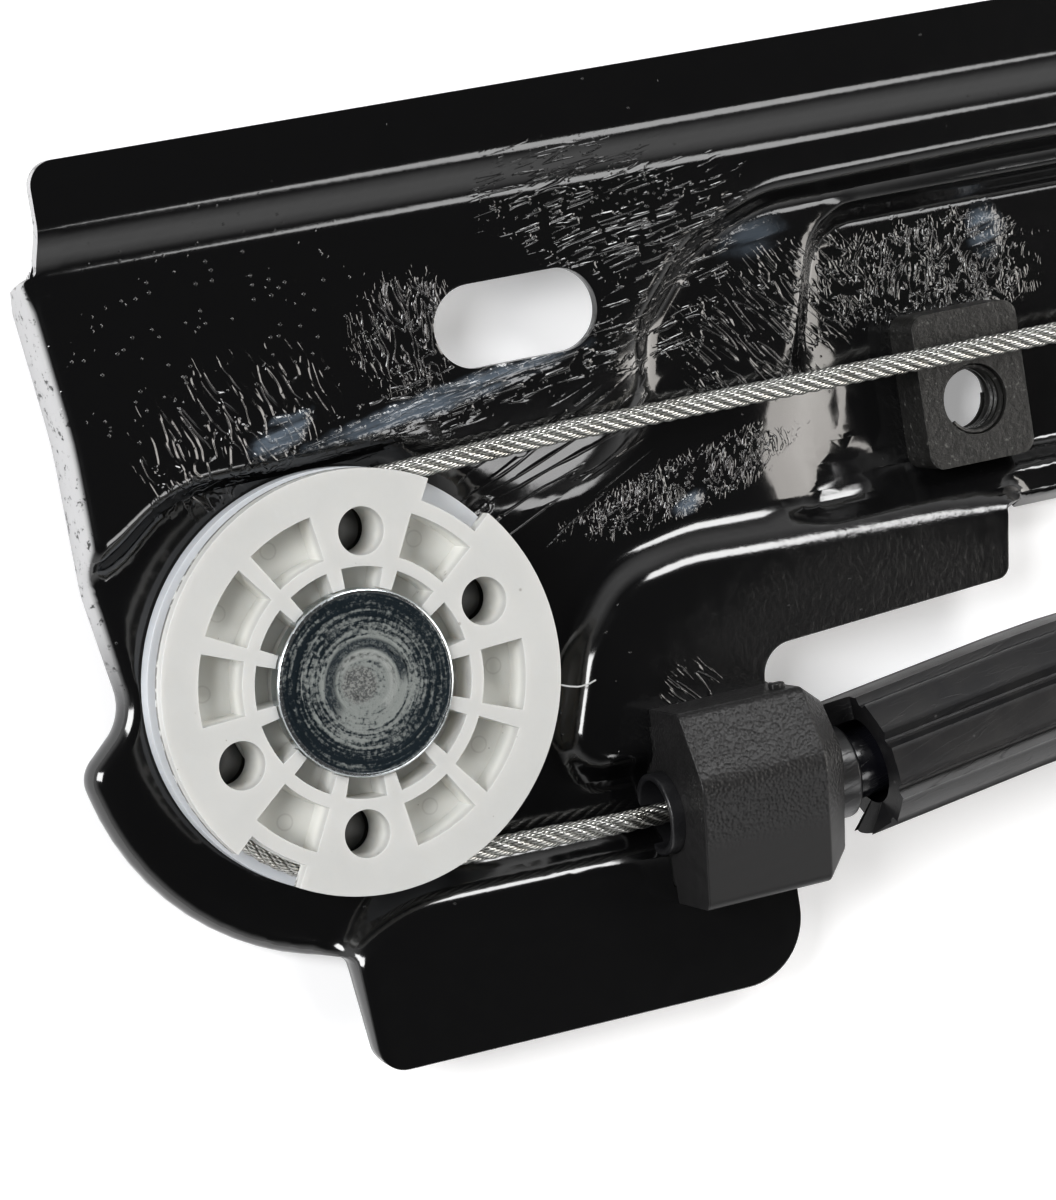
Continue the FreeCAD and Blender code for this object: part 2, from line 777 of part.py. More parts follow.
def turned(wire):
    """Turns an outline drawn across X to face along the sleeve's start."""
    copy = wire.copy()
    copy.rotate(start, Vector(0, 0, 1), heading)
    return copy


sleeve = swept(turned(flute_outline(start.x, start.y)), sleeve_path)
sleeve_bore = many_sided(CONDUIT_SIDES, S.conduit_radius + S.sleeve_gap, start.x, start.y)
sleeve = sleeve.cut(swept(turned(sleeve_bore), sleeve_path))


# Conduit block: clips into the bracket's edge and holds the end of the conduit.
def block_corners(trim):
    low_y, high_y = block_low + trim, block_high - trim
    front, back = S.block_front.value - trim, -S.block_back.value + trim
    return [
        (low_y, back, 1.0), (high_y, back, 1.0), (high_y, front - 3.4, 1.2),
        (low_y + 12.9 - trim, front, 4.0), (low_y, front - 3.1, 1.2),
    ]


def section_at(corners, x):
    wire = rounded(corners)
    wire.Placement = Placement(Vector(x, 0, 0), Rotation(Vector(1, 1, 1), 120))
    return wire


def conduit_block():
    main_end = block_x + S.block_length.value
    solid = profile_along_x(block_corners(0.0), block_x, main_end)
    taper = Part.makeLoft([section_at(block_corners(0.0), main_end),
                           section_at(block_corners(2.2), block_end_x)], True, True)
    solid = solid.fuse(taper)
    for radius, x_low, x_high in ((conduit_bore, block_x - 1, block_end_x + 1),
                                  (S.cap_radius * 0.88, block_x - 1, block_x + 2.0),
                                  (S.conduit_radius, conduit_start_x, block_end_x + 1)):
        bore = Part.Face(ring(radius, x_low, strand_y)).extrude(Vector(x_high - x_low, 0, 0))
        solid = solid.cut(bore)
    for y_low, y_high in ((block_low - 1, block_low + S.block_grip.value),
                          (block_high - S.block_grip.value, block_high + 1)):
        solid = solid.cut(box((block_x - 1, y_low, -S.sheet.value), (block_end_x + 1, y_high, 0.0)))
    return solid.removeSplitter()


def conduit_cap():
    outer = Part.Face(ring(S.cap_radius, block_end_x, strand_y)).extrude(Vector(S.cap_length.value, 0, 0))
    inner = Part.Face(ring(S.conduit_radius + 0.1, block_end_x, strand_y)).extrude(Vector(S.cap_length.value, 0, 0))
    return outer.cut(inner)


for name, flip in (("left", False), ("right", True)):
    for part, solid in (("conduit_block", conduit_block()), ("conduit_cap", conduit_cap()),
                        ("conduit", conduit), ("fluted_sleeve", sleeve), ("cable", cable)):
        piece("%s_%s" % (name, part), mirrored(solid) if flip else solid)


# Cable drum, which winds one cable on as it pays the other out.
winding_half = S.turn_pitch * S.turns / 2
drum_rim = S.side_gap * 10
drum_low = cable_z - winding_half - drum_rim
floor_z = drum_low - S.slide_gap
drum_high = cable_z + winding_half + drum_rim
housing_top = drum_high + S.slide_gap
cover_top = housing_top + S.cover
journal_top = cover_top + 1
drum_floor = S.drum_radius - S.cable_radius - S.side_gap

body = new_body("cable_drum")
revolved(body, "Drum", [
    (0, rest_z + 1), (S.foot_journal, rest_z + 1), (S.foot_journal, drum_low), (S.drum_flange, drum_low),
    (S.drum_flange, drum_low + drum_rim), (drum_floor, drum_low + drum_rim),
    (drum_floor, drum_high - drum_rim), (S.drum_flange, drum_high - drum_rim), (S.drum_flange, drum_high),
    (S.journal_radius, drum_high), (S.journal_radius, journal_top), (0, journal_top),
])
disc(body, "Subtractive", "Drive", S.drive_radius, journal_top - S.drive_depth, S.drive_depth + 1)
groove = disc(body, "Subtractive", "Spline", 0.8, journal_top - S.drive_depth, S.drive_depth + 1,
              x=S.drive_radius.value)
polar(body, "Splines", [groove], 4)
nipple_circle = drum_floor.value - 3.4
nipple_low = cable_z - 1
pocket = disc(body, "Subtractive", "NipplePocket", 2.0, nipple_low, drum_high - nipple_low + 1, x=nipple_circle)
polar(body, "NipplePockets", [pocket], 2)
bind_place(body, 0, axis_y + S.drum_y, 0)

rings = []
for k in range(int(S.turns.value)):
    turn_z = cable_z.value + (k - (S.turns.value - 1) / 2) * S.turn_pitch.value
    section = [Vector(S.drum_radius.value + S.cable_radius.value * math.cos(math.radians(a)), 0,
                      turn_z + S.cable_radius.value * math.sin(math.radians(a))) for a in range(0, 360, 90)]
    face = Part.Face(Part.makePolygon(section + section[:1]))
    rings.append(face.revolve(Vector(0, 0, 0), Vector(0, 0, 1), 360))
piece("drum_cable", Part.makeCompound(rings), at(0, drum_axis_y, 0))
nipples = [cylinder(1.9, nipple_low, nipple_low + 4, side * nipple_circle, 0) for side in (-1, 1)]
piece("drum_nipples", Part.makeCompound(nipples), at(0, drum_axis_y, 0))


# Drum housing: a moulded cup with a cable entry each side and three bosses for the motor.
MOTOR_ANGLES = (90.0, 210.0, 330.0)
SCREW_ANGLES = (0.0, 180.0, 270.0)


def around(circle, angles):
    return [(float(circle) * math.cos(math.radians(a)), float(circle) * math.sin(math.radians(a))) for a in angles]


def outside_form(body, low_z, height_z):
    """The outline that the housing and its cover share."""
    outer = S.drum_flange + S.drum_gap + S.housing_wall
    disc(body, "Additive", "Cup", outer, low_z, height_z)
    for k, (x, y) in enumerate(around(S.motor_circle, MOTOR_ANGLES)):
        disc(body, "Additive", "Boss%d" % k, S.bush_radius + S.boss_wall, low_z, height_z, x=x, y=y)
    for k, (x, y) in enumerate(around(S.screw_circle, SCREW_ANGLES)):
        disc(body, "Additive", "Ear%d" % k, S.screw_radius * 2 + 0.4, low_z, height_z, x=x, y=y)


def along_x(body, kind, name, radius, x_low, length, y):
    """An additive or subtractive cylinder that lies along X at the cable's height."""
    feature = body.newObject("PartDesign::%sCylinder" % kind, name)
    feature.AttachmentSupport = [(origin_plane(body, "YZ_Plane"), "")]
    feature.MapMode = "FlatFace"
    feature.AttachmentOffset = at(y, cable_z, x_low)
    bind(feature, Radius=radius, Height=length)
    return feature


body = new_body("drum_housing")
outside_form(body, rest_z, housing_top - rest_z)
along_x(body, "Additive", "Entries", S.entry_radius, -S.entry_reach, S.entry_reach * 2, S.drum_radius)
disc(body, "Subtractive", "Well", S.drum_flange + S.drum_gap, floor_z, housing_top - floor_z + 1)
along_x(body, "Subtractive", "CableWay", conduit_bore, -S.entry_reach - 1, S.entry_reach * 2 + 2, S.drum_radius)
along_x(body, "Subtractive", "LeftSeat", S.conduit_radius, -S.entry_reach - 1, S.entry_seat + 1, S.drum_radius)
along_x(body, "Subtractive", "RightSeat", S.conduit_radius, S.entry_reach - S.entry_seat, S.entry_seat + 1,
        S.drum_radius)
disc(body, "Subtractive", "Foot", S.foot_journal + S.running_gap, rest_z + 0.8, 6)
for k, (x, y) in enumerate(around(S.motor_circle, MOTOR_ANGLES)):
    disc(body, "Subtractive", "BushHole%d" % k, S.bush_radius, rest_z - 1, housing_top - rest_z + 2, x=x, y=y)
for k, (x, y) in enumerate(around(S.screw_circle, SCREW_ANGLES)):
    disc(body, "Subtractive", "Pilot%d" % k, S.screw_radius, housing_top - 8, 9, x=x, y=y)
bind_place(body, 0, axis_y + S.drum_y, 0)

body = new_body("drum_cover")
outside_form(body, housing_top, S.cover)
disc(body, "Subtractive", "Journal", S.journal_radius + S.running_gap, housing_top - 1, S.cover + 2)
for k, (x, y) in enumerate(around(S.motor_circle, MOTOR_ANGLES)):
    disc(body, "Subtractive", "BushHole%d" % k, S.bush_radius, housing_top - 1, S.cover + 2, x=x, y=y)
for k, (x, y) in enumerate(around(S.screw_circle, SCREW_ANGLES)):
    disc(body, "Subtractive", "Hole%d" % k, S.screw_radius, housing_top - 1, S.cover + 2, x=x, y=y)
bind_place(body, 0, axis_y + S.drum_y, 0)

bushes = [cylinder(S.bush_radius, rest_z, cover_top, x, y).cut(cylinder(S.bush_bore, rest_z, cover_top, x, y))
          for x, y in around(S.motor_circle, MOTOR_ANGLES)]
piece("motor_bushes", Part.makeCompound(bushes), at(0, drum_axis_y, 0))
screws = [cylinder(S.screw_radius, housing_top - 7.5, cover_top, x, y).fuse(
          cylinder(S.screw_radius * 1.9, cover_top, cover_top + 1.6, x, y))
          for x, y in around(S.screw_circle, SCREW_ANGLES)]
piece("cover_screws", Part.makeCompound(screws), at(0, drum_axis_y, 0))


# Carrier: a steel plate on two nylon sliders, which grip the flange and the lower lip.
half_length = S.carrier_length.value / 2
gap, wall = S.slide_gap.value, S.slider_wall.value
plate_back = S.carrier_lift.value
plate_front = plate_back + S.carrier_plate.value
flange_top = top + axis_y.value
flange_foot = flange_top - S.flange_width.value
flange_front, flange_back = S.flange_rise.value, (S.flange_rise - S.sheet).value
upper_section = [
    (flange_foot - 2.1, flange_front + gap, 0.6), (flange_top + gap, flange_front + gap, 0),
    (flange_top + gap, flange_back - gap, 0), (flange_foot + 2.8, flange_back - gap, 0.5),
    (flange_foot + 2.8, flange_back - gap - wall, 0.5), (flange_top + gap + wall, flange_back - gap - wall, 1.0),
    (flange_top + gap + wall, plate_back, 1.0), (flange_foot - 2.1, plate_back, 0),
]
upper_slider = profile_along_x(upper_section, -half_length, half_length)

rim_z = -S.recess_depth.value
lip_foot = low + axis_y.value - 1.3
lip_z = -S.skirt_height.value
outer_y = lip_foot - gap - wall
lower_section = [
    (outer_y, lip_z - gap - 1.3, 0.6), (lip_foot + 1.7, lip_z - gap - 1.3, 0.3), (lip_foot + 1.7, lip_z - gap, 0.3),
    (lip_foot - gap, lip_z - gap, 0), (lip_foot - gap, rim_z + gap, 0.4), (lip_foot + 4.0, rim_z + gap, 0.6),
    (lip_foot + 6.5, plate_back, 0), (outer_y, plate_back, 0.8),
]
lower_slider = profile_along_x(lower_section, -half_length, half_length)
upper_y = flange_top - 3.0
lower_y = lip_foot + 2.0
rivet_x = half_length - 9.0
rivet_depth = 2.4
rivets = []
for x, y in ((-rivet_x, upper_y), (rivet_x, upper_y), (-rivet_x, lower_y), (rivet_x, lower_y)):
    shank = cylinder(S.rivet_radius, plate_back - rivet_depth, plate_front, x, y)
    rivets.append(shank.fuse(cylinder(S.rivet_radius * 1.8, plate_front, plate_front + 1.2, x, y)))
    upper_slider = upper_slider.cut(shank)
    lower_slider = lower_slider.cut(shank)
piece("upper_slider", upper_slider)
piece("lower_slider", lower_slider)
piece("slider_rivets", Part.makeCompound(rivets))

clip_half = 12.0
clip_y = cable_top_y.value
clip_low = height - S.nipple_radius.value - 0.5
clip = box((-clip_half, clip_y - 6, clip_low), (clip_half, clip_y + 6, plate_back))
way = S.cable_radius.value + 0.6
clip = clip.cut(box((-clip_half - 1, clip_y - way, clip_low - 1), (clip_half + 1, clip_y + way, height + way)))
nipple_start = clip_half - S.nipple_length.value
ferrules = []
for side in (-1, 1):
    low_x, high_x = sorted((side * nipple_start, side * (clip_half + 1)))
    seat = Part.Face(ring(S.nipple_radius + 0.1, low_x, clip_y)).extrude(Vector(high_x - low_x, 0, 0))
    clip = clip.cut(seat)
    low_x, high_x = sorted((side * nipple_start, side * clip_half))
    outer = Part.Face(ring(S.nipple_radius, low_x, clip_y)).extrude(Vector(high_x - low_x, 0, 0))
    inner = Part.Face(ring(conduit_bore, low_x, clip_y)).extrude(Vector(high_x - low_x, 0, 0))
    ferrules.append(outer.cut(inner))
    clip = clip.fuse(cylinder(2.0, plate_back - 0.5, plate_front, side * 7.0, clip_y))
piece("cable_clip", clip.removeSplitter())
piece("cable_nipples", Part.makeCompound(ferrules))

clamp_y = -3.0
bolt_x = 14.0 - half_length
jaw_x = bolt_x + 14.0
body = new_body("carrier_plate")
padded_outline(body, "Plate", [
    (-half_length, outer_y + 3), (-half_length + 8, outer_y), (half_length - 8, outer_y),
    (half_length, outer_y + 3), (half_length, flange_top - 4), (half_length - 8, flange_top + wall),
    (8 - half_length, flange_top + wall), (-half_length, flange_top - 4),
], S.carrier_lift, S.carrier_plate)
for k, (x, y) in enumerate(((-rivet_x, upper_y), (rivet_x, upper_y), (-rivet_x, lower_y), (rivet_x, lower_y))):
    disc(body, "Subtractive", "RivetHole%d" % k, S.rivet_radius, S.carrier_lift - 1, S.carrier_plate + 2, x=x, y=y)
for k, x in enumerate((-7.0, 7.0)):
    disc(body, "Subtractive", "ClipHole%d" % k, 2.0, S.carrier_lift - 1, S.carrier_plate + 2, x=x, y=clip_y)
disc(body, "Subtractive", "BoltHole", S.bolt_radius, S.carrier_lift - 1, S.carrier_plate + 2, x=bolt_x, y=clamp_y)

clamp_half = S.glass_width.value / 2
pad = S.pad.value
jaw_back = plate_front + S.glass_gap.value + 2 * pad
jaw_front = jaw_back + 2.0
profile = Part.makePolygon([Vector(x, 0, z) for x, z in (
    (bolt_x - 9, plate_front), (jaw_x, plate_front), (jaw_x, jaw_back), (half_length, jaw_back),
    (half_length, jaw_front), (jaw_x - 2, jaw_front), (jaw_x - 2, plate_front + 2), (bolt_x - 9, plate_front + 2),
    (bolt_x - 9, plate_front))])
clamp = Part.Face(profile).extrude(Vector(0, 2 * clamp_half, 0))
clamp.translate(Vector(0, clamp_y - clamp_half, 0))
clamp = clamp.cut(cylinder(S.bolt_radius, plate_front - 1, plate_front + 4, bolt_x, clamp_y))
piece("glass_clamp", clamp)
pad_low, pad_high = jaw_x + 1, half_length - 1
piece("rear_pad", box((pad_low, clamp_y - clamp_half + 1, plate_front),
                      (pad_high, clamp_y + clamp_half - 1, plate_front + pad)))
piece("front_pad", box((pad_low, clamp_y - clamp_half + 1, jaw_back - pad),
                       (pad_high, clamp_y + clamp_half - 1, jaw_back)))


def hexagon(radius, low_z, high_z, x, y):
    corners = [Vector(x + radius * math.cos(math.radians(a)), y + radius * math.sin(math.radians(a)), low_z)
               for a in range(0, 360, 60)]
    return Part.Face(Part.makePolygon(corners + corners[:1])).extrude(Vector(0, 0, high_z - low_z))


nut_low = plate_back - 5.0
head_low = plate_front + 2.0
bolt = cylinder(S.bolt_radius, nut_low, head_low, bolt_x, clamp_y)
bolt = bolt.fuse(hexagon(S.bolt_head.value * 1.1, head_low, head_low + 4.0, bolt_x, clamp_y))
piece("clamp_bolt", bolt)
nut = hexagon(S.bolt_head.value * 1.1, nut_low, plate_back, bolt_x, clamp_y)
piece("clamp_nut", nut.cut(cylinder(S.bolt_radius, nut_low - 1, plate_back + 1, bolt_x, clamp_y)))


# Nothing is written unless every object is sound.
doc.recompute()
for obj in doc.Objects:
    if "Invalid" in obj.State or "Error" in obj.State:
        raise RuntimeError("%s did not compute: %s" % (obj.Name, obj.State))
for obj in finished:
    if obj.Shape.isNull() or not obj.Shape.isValid():
        raise RuntimeError("%s has no valid shape" % obj.Label)

os.makedirs("parts", exist_ok=True)
for obj in finished:
    obj.Shape.exportStep("parts/%s.step" % obj.Label)
    print("%-22s %2d solids %10.1f mm3" % (obj.Label, len(obj.Shape.Solids), obj.Shape.Volume))
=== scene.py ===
# %% [markdown]
# # A cable window regulator, dressed in Blender
#
# The CAD model gives every piece its place and size. This lesson gives each one its look: pressed steel under
# glossy black electrocoat, a moulded nylon pulley, a stranded cable, ribbed rubber and dull plastic.
# Lengths in the cells are millimetres, and `MM` turns them into Blender's metres.

import json
import math

import bmesh
import bpy
import numpy as np
from mathutils import Matrix, Vector
from mathutils.geometry import delaunay_2d_cdt


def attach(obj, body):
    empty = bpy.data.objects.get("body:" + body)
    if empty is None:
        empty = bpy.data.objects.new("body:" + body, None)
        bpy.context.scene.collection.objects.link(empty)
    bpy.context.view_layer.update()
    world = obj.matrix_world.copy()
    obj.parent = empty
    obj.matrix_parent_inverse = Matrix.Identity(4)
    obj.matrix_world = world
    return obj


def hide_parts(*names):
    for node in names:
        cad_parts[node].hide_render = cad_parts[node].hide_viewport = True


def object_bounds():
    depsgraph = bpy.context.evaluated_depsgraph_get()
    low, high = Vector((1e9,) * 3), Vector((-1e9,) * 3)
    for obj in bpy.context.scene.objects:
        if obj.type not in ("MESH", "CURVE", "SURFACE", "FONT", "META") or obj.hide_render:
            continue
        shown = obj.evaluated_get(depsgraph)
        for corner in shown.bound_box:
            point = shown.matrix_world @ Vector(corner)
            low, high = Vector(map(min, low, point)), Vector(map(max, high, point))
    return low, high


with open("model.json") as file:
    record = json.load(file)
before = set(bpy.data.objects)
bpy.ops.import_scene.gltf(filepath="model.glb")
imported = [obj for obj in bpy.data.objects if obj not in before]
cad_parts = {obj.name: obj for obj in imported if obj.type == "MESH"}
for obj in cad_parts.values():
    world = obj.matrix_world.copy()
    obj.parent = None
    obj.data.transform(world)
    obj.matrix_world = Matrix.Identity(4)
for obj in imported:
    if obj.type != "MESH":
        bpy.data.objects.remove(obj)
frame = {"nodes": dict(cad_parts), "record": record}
cad_box = [[float(v) for v in corner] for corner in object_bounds()]
scene = bpy.context.scene
scene.view_settings.view_transform = "Standard"
MM = 0.001


def placed(name, data):
    """A new object in the scene."""
    thing = bpy.data.objects.new(name, data)
    scene.collection.objects.link(thing)
    return thing


print("nodes", len(frame["nodes"]))

# %% [markdown]
# ## The camera
#
# The photograph was taken from in front of the rail's left end, a little from its left, with a long lens. The
# camera's place and turn were worked out from about twenty points whose places on the part are known: points on
# the pulley's rim, the slot, the nut and the rail's edges. The rows of the matrix below are the camera's right,
# up and backward directions in the part's frame.

# %% Camera
RIGHT = Vector((0.9036, -0.1580, 0.3982)).normalized()
UP = Vector((0.1945, 0.9795, -0.0528))
BACK = RIGHT.cross(UP).normalized()
UP = BACK.cross(RIGHT)
camera_data = bpy.data.cameras.new("camera")
camera_data.sensor_fit = "HORIZONTAL"
camera_data.sensor_width = 36.0
camera_data.lens = 165.67
camera_data.clip_start = 0.01
camera_data.clip_end = 20.0
camera = placed("camera", camera_data)
turn = Matrix((RIGHT, UP, BACK)).transposed().to_4x4()
camera.matrix_world = Matrix.Translation(Vector((-445.2, 32.8, 444.2)) * MM) @ turn
scene.camera = camera
print("camera", [round(v, 3) for v in camera.location])

# %% [markdown]
# ## Shader maths as Python
#
# A material is a small program. Wiring it by hand hides what it computes, so a class wraps a node's output and
# lets ordinary operators add the Math nodes: `1 - mask * 0.3` then reads as what it is. Any other node comes from
# one method, `Shop.node`, which takes the node's type, its settings and what goes into its sockets.

# %% Sockets that do sums
def sum_method(operation, swapped=False):
    """What an operator of a wire does: it adds one Math node. A reflected operator swaps the two sides."""
    def method(self, other):
        return self.shop.math(operation, *((other, self) if swapped else (self, other)))
    return method


class Wire:
    """The output of a node, which adds Math nodes when it is used in a sum."""

    def __init__(self, shop, socket):
        self.shop = shop
        self.socket = socket

    def __abs__(self):
        return self.shop.math("ABSOLUTE", self)

    __add__, __radd__ = sum_method("ADD"), sum_method("ADD", True)
    __sub__, __rsub__ = sum_method("SUBTRACT"), sum_method("SUBTRACT", True)
    __mul__, __rmul__ = sum_method("MULTIPLY"), sum_method("MULTIPLY", True)
    __truediv__, __pow__ = sum_method("DIVIDE"), sum_method("POWER")


class Shop:
    """Makes nodes in one node tree, of shaders or of geometry."""

    def __init__(self, tree):
        self.tree = tree

    def put(self, value, socket):
        if isinstance(value, Wire):
            self.tree.links.new(value.socket, socket)
        else:
            socket.default_value = value

    def node(self, kind, settings=None, sockets=None, output=0):
        """A node of a type, its settings set first, then the values or links of its sockets."""
        made = self.tree.nodes.new(kind)
        for name, value in (settings or {}).items():
            setattr(made, name, value)
        for name, value in (sockets or {}).items():
            self.put(value, made.inputs[name])
        return Wire(self, made.outputs[output])

    def math(self, operation, *values):
        return self.node("ShaderNodeMath", {"operation": operation}, dict(enumerate(values)))

    def point(self, x=0.0, y=0.0, z=0.0):
        """A vector made of three numbers."""
        return self.node("ShaderNodeCombineXYZ", {}, {0: x, 1: y, 2: z})

    def parts(self, vector):
        """The three numbers of a vector."""
        made = self.node("ShaderNodeSeparateXYZ", {}, {0: vector}).socket.node
        return [Wire(self, output) for output in made.outputs]

    def mix(self, factor, first, second):
        """A colour between two colours, each a wire or three numbers."""
        first, second = [value if isinstance(value, Wire) else (*value, 1.0) for value in (first, second)]
        return self.node("ShaderNodeMix", {"data_type": "RGBA"}, {0: factor, 6: first, 7: second}, output=2)

    def steps(self, value, low, high):
        """0 below low, 1 above high, and smooth between."""
        return self.node("ShaderNodeMapRange", {"interpolation_type": "SMOOTHSTEP"},
                         {"Value": value, "From Min": low, "From Max": high})

    def dress(self, colour, rough, normal):
        """Leads a material's patterns into its shader."""
        shader = self.tree.nodes["Principled BSDF"]
        for name, value in (("Base Color", colour), ("Roughness", rough), ("Normal", normal)):
            self.put(value, shader.inputs[name])


def material(name, **constants):
    """A Principled material with its constant sockets set, and the shop that works on it."""
    made = bpy.data.materials.new(name)
    made.use_nodes = True
    shader = made.node_tree.nodes["Principled BSDF"]
    for socket, value in constants.items():
        shader.inputs[socket.replace("_", " ")].default_value = value
    return made, Shop(made.node_tree)


def places(shop, scale=1.0, offset=(0, 0, 0)):
    """Object coordinates in millimetres, moved and scaled for a pattern."""
    coordinates = shop.node("ShaderNodeTexCoord", output="Object")
    return shop.node("ShaderNodeMapping", {}, {"Vector": coordinates, "Location": [v * scale for v in offset],
                                               "Scale": [scale / MM] * 3})


def noise(shop, where, detail=2.0, rough=0.5, distort=0.0):
    """Clouds from 0 to 1 on places of one's own, or on plain ones scaled by a number: patterns per millimetre."""
    where = where if isinstance(where, Wire) else places(shop, where)
    return shop.node("ShaderNodeTexNoise", {}, {"Vector": where, "Scale": 1.0, "Detail": detail,
                                                "Roughness": rough, "Distortion": distort})


def bump(shop, height, distance, strength=1.0, normal=None):
    """A Bump node: the height is 0 to 1, and the distance is in millimetres."""
    sockets = {"Height": height, "Distance": distance * MM, "Strength": strength}
    if normal is not None:
        sockets["Normal"] = normal
    return shop.node("ShaderNodeBump", {}, sockets)


print("shader helpers ready")

# %% [markdown]
# ## Stage and light
#
# The part lies on its back on a white table. The table keeps a soft shadow, and adds a little of its own white
# where the camera, a mirror or a lens looks at it. Gloss black shows the room more than its own colour, so the
# room is built from a few large soft lamps with dark between them: the web of the rail looks up at the dark, and
# its bends look at the lamps.

# %% Table
FLOOR_Z = cad_box[0][2]
bpy.ops.mesh.primitive_plane_add(size=6.0, location=(0, 0, FLOOR_Z - 0.02 * MM))
table = bpy.context.object
table.name = "table"
TABLE_GLOW = 0.31
table_paint, shop = material("table_white", Base_Color=(0.86, 0.86, 0.87, 1.0), Roughness=0.9,
                             Emission_Color=(1.0, 1.0, 1.0, 1.0))
rays = shop.tree.nodes.new("ShaderNodeLightPath").outputs
seen = shop.math("MINIMUM", Wire(shop, rays["Is Camera Ray"]) + Wire(shop, rays["Is Glossy Ray"])
                 + Wire(shop, rays["Is Transmission Ray"]), 1.0)
shop.put(seen * TABLE_GLOW, shop.tree.nodes["Principled BSDF"].inputs["Emission Strength"])
table.data.materials.append(table_paint)
print("table at", round(FLOOR_Z / MM, 2))

# %% World and lamps
world = bpy.data.worlds.new("room")
scene.world = world
world.use_nodes = True
room = Shop(world.node_tree)
backdrop = world.node_tree.nodes["Background"]
rays = world.node_tree.nodes.new("ShaderNodeLightPath").outputs
up = room.parts(room.node("ShaderNodeTexCoord", output="Generated"))[2]
wall = 0.9 - room.steps(up, 0.12, 0.62) * 0.87
room.put(room.math("MAXIMUM", wall, Wire(room, rays["Is Camera Ray"])), backdrop.inputs["Strength"])
backdrop.inputs["Color"].default_value = (1.0, 1.0, 1.0, 1.0)


def lamp(name, place, aim, width, height, power, colour=(1.0, 1.0, 1.0)):
    """A soft rectangular lamp that looks at a point of the part. Places are in millimetres."""
    data = bpy.data.lights.new(name, "AREA")
    data.shape = "RECTANGLE"
    data.size, data.size_y = width * MM, height * MM
    data.energy = power
    data.color = colour
    thing = placed(name, data)
    thing.location = Vector(place) * MM
    thing.rotation_euler = (Vector(aim) * MM - thing.location).to_track_quat("-Z", "Y").to_euler()


lamp("left_softbox", (-1050, 260, 620), (-240, -20, 0), 440, 600, 12.5)
lamp("right_softbox", (520, -60, 420), (-200, 0, 0), 420, 640, 4.4, (1.0, 0.96, 0.91))
lamp("front_softbox", (150, -500, 660), (-240, -20, 0), 260, 260, 1.1)
lamp("top_softbox", (120, 620, 660), (-240, -20, 0), 420, 240, 4.2)

# %% [markdown]
# ## The guide rail: one pressed sheet
#
# The rail starts as a flat blank and is pressed once. So it is drawn here as a height over the blank: every bend is
# a smooth step that depends on the distance to a drawn line, and the sheet's thickness comes last, from a Solidify
# modifier. Gloss black shows each bend as a soft band of light, so bends need real radii and rows of points along
# them. A constrained triangulation takes those rows as they are. Only the left half is made: the right half is its
# mirror image.

# %% Lines of the pressed form
AXIS_X, AXIS_Y = -280.0, -32.0
SHEET = 1.2
RAIL_TOP, RAIL_FOOT = 55.2, 3.4
FLANGE_FOOT, FLANGE_RUN, FLANGE_RISE = 44.6, 4.0, 3.0
RECESS_DEPTH, CHANNEL_DEPTH, SKIRT_END = 2.9, 6.2, -5.6
LIP_FLARE = 1.3
FAR = 330.0
# Corners are (x, y, radius) from the left pulley's axis, and the lines run on past the middle of the rail.
OUTLINE = [
    (FAR, RAIL_TOP, 0), (-24.9, RAIL_TOP, 2.5), (-24.9, 44.4, 0.5), (-26.5, 44.4, 1.1), (-24.5, 28.0, 40.0),
    (-24.2, 13.0, 12.0), (-22.1, 0.6, 5.0), (-27.4, -4.3, 3.0), (-22.86, -23.92, 27.65), (-4.2, -27.4, 1.0),
    (-3.4, -39.4, 3.0), (44.4, -39.9, 7.0), (44.4, -27.8, 0), (30.8, -27.8, 0), (30.8, -11.2, 0), (44.4, -11.2, 0),
    (44.4, -5.9, 3.5), (74.0, -4.1, 1.5), (75.2, RAIL_FOOT, 0.8), (78.0, RAIL_FOOT, 0.5),
    (78.6, RAIL_FOOT - LIP_FLARE, 0.5), (FAR, RAIL_FOOT - LIP_FLARE, 0),
]
RECESS = [
    (-45.0, 15.2, 0), (-23.0, 16.6, 12.0), (-14.5, 22.2, 14.0), (10.0, 22.7, 30.0), (31.2, 23.4, 10.0),
    (43.5, 37.0, 12.0), (53.0, 40.4, 14.0), (80.0, 40.8, 60.0), (FAR + 40, 40.8, 0), (FAR + 40, -14.0, 0),
    (79.0, -8.0, 1.0), (76.4, 3.2, 1.6), (39.2, 4.4, 20.0), (31.2, 3.4, 8.0), (26.0, -3.0, 9.0),
    (22.4, -13.9, 3.0), (58.0, -14.4, 0), (58.0, -24.4, 0), (1.5, -23.4, 12.0), (-8.0, -31.0, 4.0),
    (-45.0, -45.0, 0),
]
CHANNEL = [
    (FAR + 40, 38.6, 0), (84.0, 38.6, 60.0), (58.0, 38.6, 9.0), (50.2, 12.5, 7.0), (52.5, 4.9, 4.5),
    (84.0, 4.9, 60.0), (FAR + 40, 4.9, 0),
]
SLOT_X, SLOT_Y, SLOT_LENGTH, SLOT_WIDTH = 23.5, 32.0, 17.8, 8.4
NUT_X, NUT_Y, NUT_HOLE = 73.8, 14.7, 4.2
PIN_HOLE = 3.5
print("corners", len(OUTLINE), len(RECESS), len(CHANNEL))


# %% Drawing helpers
def anticlockwise(corners):
    """The corners in that order, whichever way round they were written."""
    area = sum(a[0] * b[1] - b[0] * a[1] for a, b in zip(corners, corners[1:] + corners[:1]))
    return list(corners) if area > 0 else list(reversed(corners))


